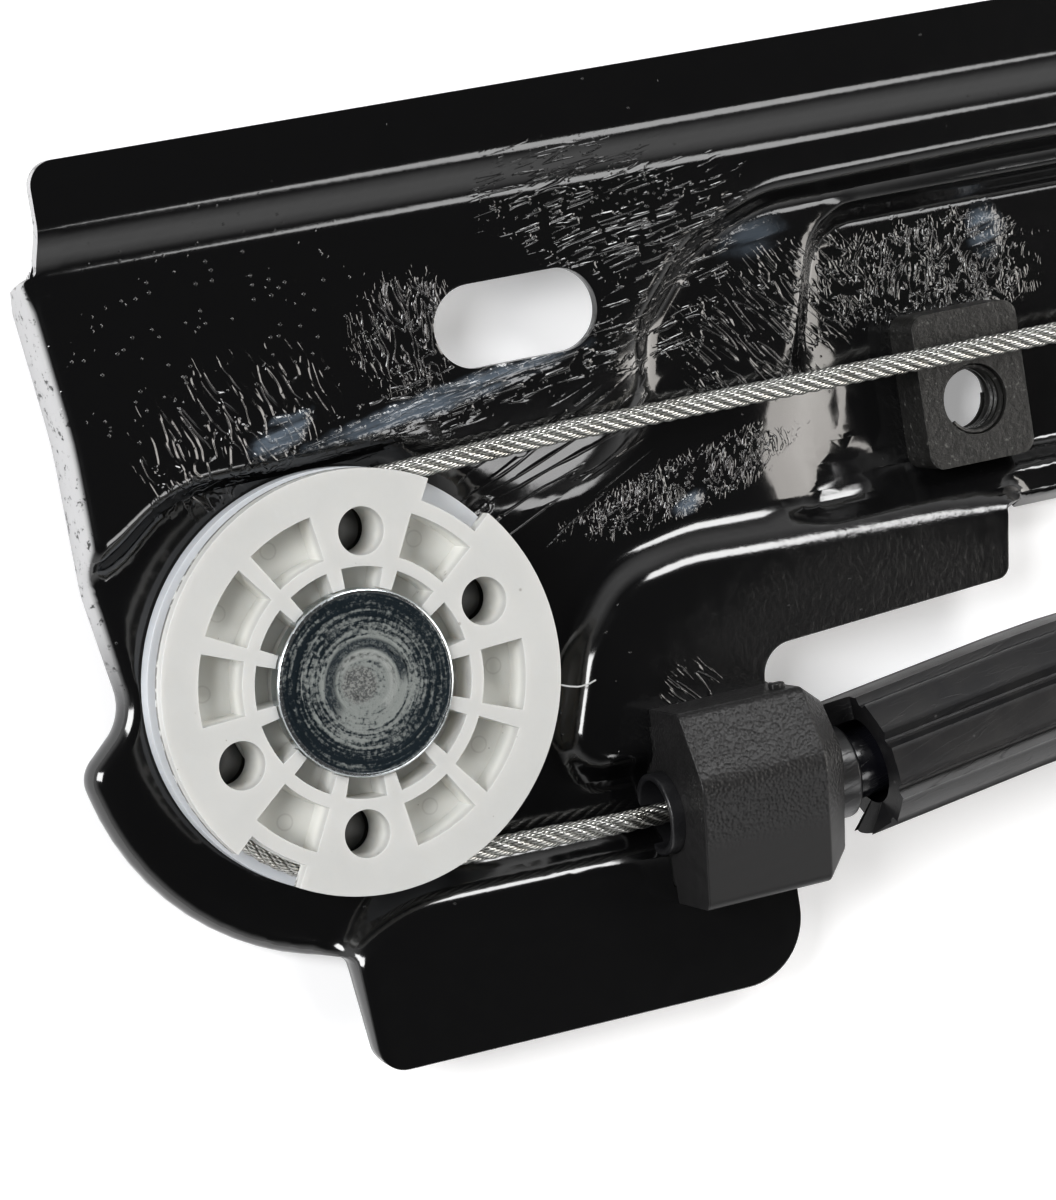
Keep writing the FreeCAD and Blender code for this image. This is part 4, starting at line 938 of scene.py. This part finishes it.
bolt_zinc = plated("bolt_zinc", (0.60, 0.62, 0.64), (0.42, 0.44, 0.47), 0.22)
bright_steel = plated("bright_steel", (0.62, 0.62, 0.61), (0.45, 0.45, 0.44), 0.20)
bush_steel = plated("bush_steel", (0.56, 0.56, 0.57), (0.38, 0.38, 0.39), 0.25)
screw_steel = plated("screw_steel", (0.40, 0.40, 0.41), (0.22, 0.22, 0.23), 0.28)
zinc_cast = plated("zinc_cast", (0.50, 0.50, 0.52), (0.36, 0.36, 0.37), 0.42)
print("plated metals made")

# %% The pin's turned face
PIN_RIM = 8.75
pin_zinc, shop = material("pin_zinc", Metallic=1.0)
across, up, reach, _ = about_axis(shop)
angle = shop.math("ARCTAN2", up, across)
ringed = shop.point(reach * 2.6, shop.math("COSINE", angle) * 0.9, shop.math("SINE", angle) * 0.9)
rings = noise(shop, ringed, detail=4.0, rough=0.6)
speckle = noise(shop, 2.4, detail=3.0, rough=0.7)
worn = rings * 0.5 + speckle * 0.42 + (1 - shop.steps(reach, 3.0, 8.8)) * 0.15
grey_share = shop.steps(worn, 0.47, 0.62)


def arc_mark(shop, radius, width, middle, spread):
    """Part of a circle about the pin's axis, at an angle and as wide round it as the spread, in radians."""
    band = 1 - shop.steps(abs(reach - radius), width * 0.4, width)
    return band * shop.steps(shop.math("COSINE", angle - middle), math.cos(spread), math.cos(spread * 0.8))


hook = arc_mark(shop, 3.9, 0.75, 1.3, 2.1) * (0.55 + 0.45 * shop.steps(speckle, 0.4, 0.55))
gleam = arc_mark(shop, 2.85, 0.6, 2.4, 2.0)
from_button = shop.math("SQRT", (across - 0.8) * (across - 0.8) + up * up) + (speckle - 0.5) * 0.9
button = 1 - shop.steps(from_button, 1.5, 2.1)
rim = shop.steps(reach, PIN_RIM, PIN_RIM + 0.2)
grit = shop.steps(noise(shop, 4.5, detail=2.0, rough=0.7), 0.46, 0.56)
face = shop.mix(grey_share, (0.036, 0.052, 0.066), (0.30, 0.325, 0.315))
for mask, colour in ((gleam * 0.6, (0.40, 0.42, 0.41)), (button * 0.9, (0.30, 0.31, 0.30)),
                     (button * (1 - grit) * 0.75, (0.07, 0.075, 0.08)), (hook * 0.95, (0.02, 0.028, 0.036)),
                     (rim, (0.66, 0.70, 0.72))):
    face = shop.mix(mask, face, colour)
shop.dress(face, 0.30 + grey_share * 0.22 - rim * 0.1,
           bump(shop, rings * 0.05 + speckle * (1 - rim) * 0.04 - hook * 0.05, 1.0, 0.6))
print("pin nodes", len(pin_zinc.node_tree.nodes))

# %% The rope's wires and the nut's paint
WIRE_LAY = 0.55
rope_steel, shop = material("rope_steel", Metallic=1.0)
cosine, sine, _ = shop.parts(shop.node("ShaderNodeAttribute", {"attribute_name": "ring"}, output="Vector"))
run = shop.node("ShaderNodeAttribute", {"attribute_name": "run"}, output="Fac")
turn_angle = shop.math("ARCTAN2", sine, cosine)
wires = shop.math("SINE", turn_angle * 6.0 + run * (2 * math.pi / (WIRE_LAY * MM))) * 0.5 + 0.5
oil = shop.steps(noise(shop, 0.22, detail=3.0), 0.48, 0.72)
# The grooves between the wires are painted dark: painted shade in the creases between them.
steel = shop.mix(shop.steps(wires, 0.05, 0.5), (0.12, 0.12, 0.115), (0.70, 0.70, 0.67))
shop.dress(shop.mix(oil * 0.45, steel, (0.30, 0.28, 0.24)), 0.34 - oil * 0.08, bump(shop, wires, 0.05, 0.7))

nut_paint, shop = material("nut_paint", Specular_IOR_Level=0.35)
cloud = noise(shop, 0.8, detail=6.0, rough=0.7)
worn = shop.steps(noise(shop, 1.7, detail=4.0), 0.60, 0.72)
paint = shop.mix(cloud, (0.004, 0.004, 0.004), (0.018, 0.0175, 0.0165))
shop.dress(shop.mix(worn, paint, (0.07, 0.07, 0.066)), 0.22 + 0.22 * cloud, bump(shop, cloud, 0.16, 0.8))
print("metals made")


# %% Plastics and rubber
def moulded(name, colour, light, rough, grain=0.5, grain_scale=1.6, **constants):
    """Moulded plastic or rubber: fine grain, flow clouds, dust and scuffs."""
    made, shop = material(name, **constants)
    cloud = noise(shop, 0.2, detail=5.0, rough=0.6)
    fine = noise(shop, places(shop, grain_scale), detail=3.0, rough=0.6)
    scuff = strokes(shop, stretched(shop, 20, 0.06, 1.1), 0.018, 0.4)
    tone = shop.mix(shop.steps(cloud, 0.3, 0.75), colour, light)
    tone = shop.mix(dots(shop, 0.55, 0.12, 0.25) * 0.5, tone, [min(1.0, v * 3 + 0.1) for v in light])
    shop.dress(tone, rough + 0.15 * (cloud - 0.5) + scuff * 0.08,
               bump(shop, scuff, 0.02, 0.5, bump(shop, fine, 0.05, grain)))
    return made


cap_plastic = moulded("cap_plastic", (0.006, 0.006, 0.007), (0.013, 0.013, 0.014), 0.30)
conduit_skin = moulded("conduit_skin", (0.004, 0.004, 0.006), (0.008, 0.008, 0.011), 0.20, 0.3, 0.8)
sleeve_rubber = moulded("sleeve_rubber", (0.005, 0.005, 0.006), (0.012, 0.0115, 0.0115), 0.38, 0.4, 0.7,
                        Specular_IOR_Level=0.33)
housing_plastic = moulded("housing_plastic", (0.018, 0.018, 0.020), (0.030, 0.030, 0.032), 0.48, 0.9, 2.2)
pad_rubber = moulded("pad_rubber", (0.014, 0.014, 0.014), (0.028, 0.028, 0.028), 0.62, 0.9, 1.2)
milky = {"Subsurface_Weight": 0.2, "Subsurface_Scale": 0.002}
drum_plastic = moulded("drum_plastic", (0.70, 0.69, 0.64), (0.78, 0.77, 0.72), 0.34, 0.25, 0.7, **milky)
slider_nylon = moulded("slider_nylon", (0.66, 0.65, 0.60), (0.76, 0.75, 0.70), 0.40, 0.35, 0.9, **milky)

block_plastic, shop = material("block_plastic", Specular_IOR_Level=0.3)
_, y, z = shop.parts(places(shop))
grained = shop.steps(z * 0.5 + y, -52.5, -47.5)
cells = shop.node("ShaderNodeTexVoronoi", {"feature": "SMOOTH_F1"}, {"Vector": places(shop), "Scale": 2.9})
leather = shop.math("MINIMUM", cells * 1.1 + noise(shop, 1.2, detail=3.0) * 0.5, 1.0)
wiped = noise(shop, stretched(shop, 8, 0.12, 0.8), detail=4.0)
tone = shop.mix(wiped, (0.005, 0.005, 0.005), (0.012, 0.0115, 0.012))
shop.dress(shop.mix(dots(shop, 0.3, 0.07, 0.35) * 0.8, tone, (0.5, 0.5, 0.5)), 0.42 + 0.12 * wiped - grained * 0.08,
           bump(shop, leather * grained * 0.10 + wiped * 0.02, 1.0, 0.8))
print("dark plastics made")

# %% The pulley's nylon
POCKETS, POCKET_TURN, EJECTOR_RING = 12, 21.3 / 30, 15.4
pulley_nylon, shop = material("pulley_nylon", Subsurface_Weight=0.35, Subsurface_Scale=0.0025,
                              Subsurface_Radius=(1.0, 0.9, 0.8))
across, up, reach, z = about_axis(shop)
cloud = noise(shop, 0.12, detail=4.0, rough=0.6)
rear = (1 - shop.steps(z, 0.6, 1.2)) * shop.steps(reach, 18.0, 19.5)
# A dark band inside the mouth of the groove, broken by noise: partly real grime and partly painted shade in the groove.
gap = (1 - shop.steps(abs(z - 1.8), 0.25, 0.55)) * shop.steps(reach, 19.6, 20.4)
grime = gap * shop.steps(noise(shop, 0.9, detail=4.0), 0.36, 0.48)
specks = dots(shop, 0.42, 0.10, 0.22) + dots(shop, 1.3, 0.14, 0.05, 5.0)
# Everything below the pulley's front face is painted lighter: painted light that stands for light shining through the
# thin nylon of the pockets.
low = 1 - shop.steps(z, 1.4, 3.1)
turned = shop.math("ARCTAN2", up, across) * (POCKETS / (2 * math.pi)) + (POCKETS - POCKET_TURN)
sector = shop.math("FRACT", turned) - 0.5
off_middle = shop.math("SQRT", (sector * 8.1) ** 2.0 + (reach - EJECTOR_RING) ** 2.0)
ejector = 1 - shop.steps(abs(off_middle - 0.8), 0.04, 0.14)
tone = shop.mix(cloud, (0.455, 0.458, 0.448), (0.525, 0.527, 0.515))
for mask, colour in ((low, (0.74, 0.74, 0.71)), (ejector * low * 0.35, (0.45, 0.44, 0.42)),
                     (rear * 0.9, (0.50, 0.525, 0.56)),
                     (shop.math("MINIMUM", specks, 1.0) * 0.55, (0.16, 0.14, 0.12)),
                     (grime * 0.85, (0.05, 0.05, 0.05))):
    tone = shop.mix(mask, tone, colour)
shop.dress(tone, 0.30 + 0.12 * cloud, bump(shop, noise(shop, 0.35, detail=3.0), 0.12, 0.4))
print("plastics made")

# %% [markdown]
# ## The cable
#
# The wire rope has seven strands: six lie round a straight one, and each is made of finer wires. A plain tube with
# a striped picture would shine like a rod, so the strands are real. The tree copies the path six times, pushes each
# copy sideways round the path by an angle that grows with length, and sweeps a small circle along it. The wires
# within a strand are too fine for faces, so the tree only stores each point's place round and along its strand, and
# the material cuts the wires into it.

# %% Rope by Geometry Nodes
rope = Garden("twisted_rope", Strand=0.38 * MM, Lay=0.75 * MM, Pitch=-10.0 * MM, Step=0.8 * MM, Sides=7, Strands=6)
given = rope.given
path = rope.path()
length = rope.node("GeometryNodeSplineParameter", output="Length")
copies = rope.node("GeometryNodeDuplicateElements", {"domain": "SPLINE"},
                   {"Geometry": path, "Amount": given["Strands"]})
index = Wire(rope, copies.socket.node.outputs["Duplicate Index"])
theta = (index / given["Strands"] - length / given["Pitch"]) * (2 * math.pi)
out = rope.vector("CROSS_PRODUCT", (0.0, 0.0, 1.0), rope.node("GeometryNodeInputTangent"))
push = rope.vector("ADD", rope.scaled(out, rope.math("COSINE", theta) * given["Lay"]),
                   rope.point(z=rope.math("SINE", theta) * given["Lay"]))
laid = rope.stored(rope.joined(rope.moved(copies, Offset=push), path), "run", length)
strand = rope.stored(rope.hoop(given["Sides"], given["Strand"]), "ring",
                     rope.vector("NORMALIZE", rope.node("GeometryNodeInputPosition")), "FLOAT_VECTOR")
rope.finish(rope.swept(laid, strand))

for side, way in both_sides(cable_way):
    cable = grown(side + "_wire_rope", rope, [way], rope_steel, "rail", angle=80.0)
    stands_for(cable, side + "_cable")

# %% The turns on the drum
TURNS, TURN_GAP = 4, 2.2
drum_turns = [[(DRUM_R * math.cos(a), DRUM_Y + DRUM_R * math.sin(a), CABLE_Z + (k - (TURNS - 1) / 2) * TURN_GAP)
               for a in np.linspace(0, 2 * math.pi, 121)[:-1]] for k in range(TURNS)]
winding = grown("drum_winding", rope, drum_turns, rope_steel, "drum", closed=True, angle=80.0)
stands_for(winding, "drum_cable")

# %% [markdown]
# ## Conduit and fluted sleeve
#
# The conduit is a plain tube with a glossy skin, so its tree sweeps a circle. The sleeve is a soft extrusion with
# eight lands along it. Its tree bends a circle into that outline before the sweep: the distance from the middle
# of a land sets the radius. At its outer end the sleeve has a tongue behind the conduit and one below it, so the
# tree moves those points of the first ring back along the path. The two walls are joined at their ends afterwards,
# and only then are the sharp edges marked, so that the cut end stays flat.

# %% Conduit by Geometry Nodes
tube = Garden("swept_tube", Radius=3.5 * MM, Sides=28, Step=2.5 * MM)
tube.finish(tube.swept(tube.path(), tube.hoop(tube.given["Sides"], tube.given["Radius"])))
for side, way in both_sides(conduit_way):
    stands_for(grown(side + "_glossy_conduit", tube, [way], conduit_skin, "rail"), side + "_conduit")

# %% Fluted sleeve by Geometry Nodes
flutes = Garden("fluted_sleeve", Radius=7.4 * MM, Groove=0.75 * MM, Bore=4.6 * MM, Step=0.9 * MM, Sides=160, Lands=8,
                Reach=3.2 * MM)
given = flutes.given
path = flutes.node("GeometryNodeSetCurveNormal", {"mode": "Z_UP"}, {"Curve": flutes.path()})
path = flutes.stored(path, "run", flutes.node("GeometryNodeSplineParameter", output="Length"))
path = flutes.stored(path, "way", flutes.node("GeometryNodeInputTangent"), "FLOAT_VECTOR")


def profile(radius_at):
    """A circle of many points, each moved out to the radius that belongs to its share of the way round."""
    factor = flutes.node("GeometryNodeSplineParameter", output="Factor")
    outwards = flutes.vector("NORMALIZE", flutes.node("GeometryNodeInputPosition"))
    return flutes.moved(flutes.hoop(given["Sides"], 1.0), Position=flutes.scaled(outwards, radius_at(factor)))


def fluted_radius(factor):
    """Nearly flat lands with a small lip at each edge, and narrow grooves between them."""
    share = abs(flutes.math("FRACT", factor * given["Lands"] + 0.5) - 0.5) * 2
    land = given["Radius"] * (0.955 + 0.045 * share * share)
    lip = (1 - flutes.steps(abs(share - 0.72), 0.0, 0.07)) * 0.14 * MM
    return land + lip - flutes.steps(share, 0.76, 0.84) * given["Groove"]


outer = flutes.swept(path, profile(fluted_radius), False)
inner = flutes.swept(path, profile(lambda factor: given["Bore"]), False)
both = flutes.joined(outer, flutes.node("GeometryNodeFlipFaces", {}, {"Mesh": inner}))
run = flutes.node("GeometryNodeInputNamedAttribute", {"data_type": "FLOAT"}, {"Name": "run"})
heading = flutes.node("GeometryNodeInputNamedAttribute", {"data_type": "FLOAT_VECTOR"}, {"Name": "way"})
_, y, z = flutes.parts(flutes.node("GeometryNodeInputPosition"))
first = flutes.math("LESS_THAN", run, 0.1 * MM)
behind = flutes.steps(z * -1, -1.0 * MM, 0.0) * flutes.steps(y, (CABLE_FOOT + 1) * MM, (CABLE_FOOT + 2) * MM)
below = 1 - flutes.steps(y, (CABLE_FOOT - 6.6) * MM, (CABLE_FOOT - 6.0) * MM)
tongue = flutes.math("MINIMUM", behind + below * 0.8, 1.0) * first * given["Reach"]
flutes.finish(flutes.moved(both, Offset=flutes.scaled(heading, tongue * -1)))

SLEEVE_FROM, SLEEVE_LENGTH = 12.0, 105.5
for side, way in both_sides(conduit_way):
    part_way = piece_of(way, SLEEVE_FROM, SLEEVE_FROM + SLEEVE_LENGTH)
    sleeve = grown(side + "_ribbed_sleeve", flutes, [part_way], sleeve_rubber, "rail", angle=18.0)
    rims = bmesh.new()
    rims.from_mesh(sleeve.data)
    loops = [edge for edge in rims.edges if edge.is_boundary]
    for end in (part_way[0], part_way[-1]):
        bmesh.ops.bridge_loops(rims, edges=[edge for edge in loops
                                            if (edge.verts[0].co - Vector(end) * MM).length < 18 * MM])
    bmesh.ops.recalc_face_normals(rims, faces=rims.faces)
    rims.to_mesh(sleeve.data)
    rims.free()
    sleeve.data.set_sharp_from_angle(angle=math.radians(22))
    stands_for(sleeve, side + "_fluted_sleeve")

# %% [markdown]
# ## Pieces that only need softer edges
#
# These pieces keep the shape that the CAD model gave them, and a bevel breaks their edges. The pulley's groove is
# the exception: on the real pulley it is narrower at its mouth and deeper, so its points are moved before the bevel.

# %% Pulley, pin, washer, block and cap at each end
SIDES = (("left", -1), ("right", 1))


def closed_groove(sign):
    """Narrows the mouth of a pulley's groove and deepens its floor."""
    # In the CAD model the mouth is 21 mm from the axis, the floor 19 mm, and the upper side slants between them.
    def shape(mesh):
        for vert in mesh.verts:
            across, up, z = vert.co.x / MM - sign * -AXIS_X, vert.co.y / MM - AXIS_Y, vert.co.z / MM
            reach = math.hypot(across, up)
            wanted = reach
            if 20.9 < reach < 21.1 and -1.5 < z < 2.5:
                vert.co.z = (1.66 if z > 0.55 else -0.56) * MM
            elif 19.2 < reach < 20.6 and 1.9 < z < 2.05:
                wanted, vert.co.z = 18.85, 1.70 * MM
            elif 18.9 < reach < 19.1 and -0.6 < z < 1.7:
                wanted = 17.9
            if wanted != reach:
                vert.co.x = (sign * -AXIS_X + across * wanted / reach) * MM
                vert.co.y = (AXIS_Y + up * wanted / reach) * MM
    return shape


for side, sign in SIDES:
    softened(side + "_moulded_pulley", side + "_pulley", pulley_nylon, 0.38, 3, closed_groove(sign))
    softened(side + "_headed_pin", side + "_pulley_pin", pin_zinc, 0.30, 3)
    softened(side + "_flat_washer", side + "_washer", bright_steel, 0.08)
    softened(side + "_clip_block", side + "_conduit_block", block_plastic, 0.28, 3)
    softened(side + "_end_cap", side + "_conduit_cap", cap_plastic, 0.45, 3)

# %% Drum, carrier and clamp
for name, node, coat, width, segments in (
        ("drum_cup", "drum_housing", housing_plastic, 0.5, 3), ("drum_lid", "drum_cover", housing_plastic, 0.4, 3),
        ("winding_drum", "cable_drum", drum_plastic, 0.2, 2), ("drum_ferrules", "drum_nipples", zinc_cast, 0.15, 2),
        ("motor_sleeves", "motor_bushes", bush_steel, 0.25, 2),
        ("carrier_sheet", "carrier_plate", carrier_coat, 0.35, 3),
        ("top_slider", "upper_slider", slider_nylon, 0.25, 2), ("bottom_slider", "lower_slider", slider_nylon, 0.25, 2),
        ("cable_holder", "cable_clip", slider_nylon, 0.3, 2), ("cable_ferrules", "cable_nipples", zinc_cast, 0.2, 2),
        ("glass_jaw", "glass_clamp", carrier_coat, 0.4, 3), ("back_glass_pad", "rear_pad", pad_rubber, 0.35, 2),
        ("front_glass_pad", "front_pad", pad_rubber, 0.35, 2), ("jaw_bolt", "clamp_bolt", bolt_zinc, 0.35, 2),
        ("jaw_nut", "clamp_nut", bolt_zinc, 0.35, 2)):
    softened(name, node, coat, width, segments)

# %% [markdown]
# ## Rivets and screws
#
# A rivet's head is a low dome, and a screw's is the same dome with a cross pressed into it. Both come from one
# tree: a sphere is flattened, its lower half is pushed flat, and the points inside a cross go down by the depth of
# the recess, which is zero for a rivet. The places are the middles of the plain CAD fasteners.

# %% Fasteners by Geometry Nodes
def apart(node):
    """The box of each loose part of a CAD node: its lowest and highest corner in millimetres."""
    mesh = copied(node)
    left, boxes = set(mesh.verts), []
    while left:
        group = [left.pop()]
        for here in group:
            joined_on = {edge.other_vert(here) for edge in here.link_edges} & left
            left -= joined_on
            group += joined_on
        corners = np.array([vert.co / MM for vert in group])
        boxes.append((corners.min(axis=0), corners.max(axis=0)))
    mesh.free()
    return sorted(boxes, key=lambda box: tuple(box[0]))


domed = Garden("domed_fastener", Head=3.6 * MM, Rise=1.2 * MM, Shank=2.0 * MM, Depth=4.0 * MM, Recess=0.0,
               Segments=48, Rings=32)
given = domed.given
ball = domed.node("GeometryNodeMeshUVSphere", {},
                  {"Segments": given["Segments"], "Rings": given["Rings"], "Radius": 1.0})
x, y, z = domed.parts(domed.node("GeometryNodeInputPosition"))
cross = ((1 - domed.steps(domed.math("MINIMUM", abs(x), abs(y)), 0.12, 0.19))
         * (1 - domed.steps(domed.math("SQRT", x * x + y * y), 0.52, 0.62)))
lift = domed.math("MAXIMUM", z, 0.0) ** 0.6 * given["Rise"] - cross * given["Recess"]
dome = domed.moved(ball, Position=domed.point(x * given["Head"], y * given["Head"], domed.math("MAXIMUM", lift, 0.0)))
shank = domed.node("GeometryNodeMeshCylinder", {}, {"Vertices": 24, "Radius": given["Shank"], "Depth": given["Depth"]})
shank = domed.node("GeometryNodeTransform", {},
                   {"Geometry": shank, "Translation": domed.point(z=given["Depth"] * -0.5)})
domed.finish(domed.planted(domed.joined(dome, shank)))

for name, node, coat, head, rise, shank_radius, recess in (
        ("dome_rivets", "slider_rivets", bolt_zinc, 3.6, 1.2, 2.0, 0.0),
        ("lid_screws", "cover_screws", screw_steel, 2.85, 1.6, 1.5, 1.1)):
    boxes = apart(node)
    seats = [((low[0] + high[0]) / 2, (low[1] + high[1]) / 2, high[2] - rise) for low, high in boxes]
    depth = float(boxes[0][1][2] - boxes[0][0][2]) - rise
    fasteners = grown(name, domed, [seats], coat, body_of(node), closed=None, angle=50.0, Head=head * MM,
                      Rise=rise * MM, Shank=shank_radius * MM, Depth=depth * MM, Recess=recess * MM)
    stands_for(fasteners, node)

# %% [markdown]
# ## Ribs on the drum's cover
#
# The moulded cover is stiffened by low ribs that run out from its hub. One bar is made, and the tree sets a copy
# on each point of a ring and turns it to face the middle.

# %% Ribs by Geometry Nodes
ribs = Garden("radial_ribs", Length=8.0 * MM, Width=1.1 * MM, Rise=0.7 * MM, MiddleY=DRUM_Y * MM)
given = ribs.given
size = ribs.point(given["Length"], given["Width"], given["Rise"] * 2)
bar = ribs.node("GeometryNodeMeshCube", {}, {"Size": size})
x, y, _ = ribs.parts(ribs.node("GeometryNodeInputPosition"))
inwards = ribs.point(z=ribs.math("ARCTAN2", y - given["MiddleY"], x))
ribs.finish(ribs.planted(bar, Rotation=inwards))

RIB_RING = 15.0
lid_top = max(high[2] for low, high in apart("drum_cover"))
ring = [(RIB_RING * math.cos(a), DRUM_Y + RIB_RING * math.sin(a), lid_top) for a in np.radians(np.arange(15, 375, 30))]
lid_ribs = grown("lid_ribs", ribs, [ring], housing_plastic, body_of("drum_cover"), closed=None)
slot_of("drum_cover")
print("cover top", round(float(lid_top), 2))

# %% [markdown]
# ## The weld nut
#
# The nut is a rectangular block with round corners and a threaded hole, welded down before the coat went on. The
# block is an outline with a hole, filled and pulled up. The thread is a helix of small ridges inside the hole,
# which a tree grows from a spiral.

# %% Nut block
def pulled_up(outline, hole, low, high):
    """A flat outline with one round hole, pulled up between two heights."""
    mesh = bmesh.new()
    rings = []
    for line in (outline, hole):
        for z in (low, high):
            verts = [mesh.verts.new(Vector((x, y, z)) * MM) for x, y in line]
            rings.append([mesh.edges.new((a, b)) for a, b in zip(verts, verts[1:] + verts[:1])])
    bmesh.ops.triangle_fill(mesh, edges=rings[0] + rings[2], use_beauty=True)
    bmesh.ops.triangle_fill(mesh, edges=rings[1] + rings[3], use_beauty=True)
    for lower, upper in ((rings[0], rings[1]), (rings[2], rings[3])):
        bmesh.ops.bridge_loops(mesh, edges=lower + upper)
    bmesh.ops.recalc_face_normals(mesh, faces=mesh.faces)
    return mesh


thread = Garden("thread", Bore=3.42 * MM, Pitch=1.0 * MM, Height=4.4 * MM, Ridge=0.26 * MM)
given = thread.given
turns = given["Height"] / given["Pitch"]
spiral = thread.node("GeometryNodeCurveSpiral", {}, {
    "Resolution": 40, "Rotations": turns, "Start Radius": given["Bore"], "End Radius": given["Bore"],
    "Height": given["Height"], "Reverse": False})
thread.finish(thread.planted(thread.swept(spiral, thread.hoop(6, given["Ridge"]))))

NUT_HALF, NUT_UP, NUT_DOWN, NUT_FLOOR, NUT_HIGH, NUT_CORNER = 6.2, 9.6, 6.6, -6.2, -1.2, 1.6
for side, sign in SIDES:
    x, y = sign * (-AXIS_X - NUT_X), AXIS_Y + NUT_Y
    corners = [(x + NUT_HALF * wide, y + rise, NUT_CORNER)
               for wide, rise in ((-1, -NUT_DOWN), (1, -NUT_DOWN), (1, NUT_UP), (-1, NUT_UP))]
    block = pulled_up(rounded(corners, 10.0), circle(x, y, 3.7, 40), NUT_FLOOR, NUT_HIGH)
    nut = finished(side + "_nut_block", block, [bevel(0.35, 3, 40)])
    weighted(nut)
    nut.data.materials.append(nut_paint)
    stands_for(nut, side + "_weld_nut")
    rising = grown(side + "_nut_thread", thread, [[(x, y, NUT_FLOOR + 0.3)]], nut_paint, "rail", closed=None)
    slot_of(side + "_weld_nut")

# %% [markdown]
# ## Small things that catch the eye
#
# The hole where the cable leaves the block has a raised ring, and the mould left a square nub on the block's top.
# A thin whisker of flash stands off the pulley's edge. The ring is pulled up as the nut is, the nub is a bevelled
# block, and the whisker comes from the conduit's tree with a small radius, so none of them needs a tool of its own.

# %% Mouth ring, nub and flash
MOUTH_X, NUB = 250.4, (236.6, -41.3, 4.6)
for side, sign in SIDES:
    ring = finished(side + "_mouth_ring", pulled_up(circle(0, 0, 4.25, 40), circle(0, 0, 3.5, 40), 0, 3.0),
                    [bevel(0.25, 3, 40)])
    mouth = Vector((sign * MOUTH_X, CABLE_FOOT, CABLE_Z)) * MM
    ring.data.transform(Matrix.Translation(mouth) @ Matrix.Rotation(-sign * math.pi / 2, 4, "Y"))
    ring.data.materials.append(cap_plastic)

for side, sign in SIDES:
    tooth = bmesh.new()
    bmesh.ops.create_cube(tooth, size=1.0, matrix=Matrix.Translation(Vector((sign * NUB[0], NUB[1], NUB[2])) * MM)
                          @ Matrix.Diagonal((1.5 * MM, 1.0 * MM, 1.1 * MM, 1.0)))
    nub = finished(side + "_block_nub", tooth, [bevel(0.2, 3)], angle=35.0)
    nub.data.materials.append(block_plastic)

whisker = grown("moulding_flash", tube, [[(-259.6, -36.4, 3.1), (-258.6, -36.8, 3.2), (-257.4, -37.1, 3.2),
                                          (-256.2, -37.0, 3.15), (-255.5, -36.8, 3.1)]],
                pulley_nylon, "left_wheel", Radius=0.09 * MM, Sides=6, Step=0.4 * MM)
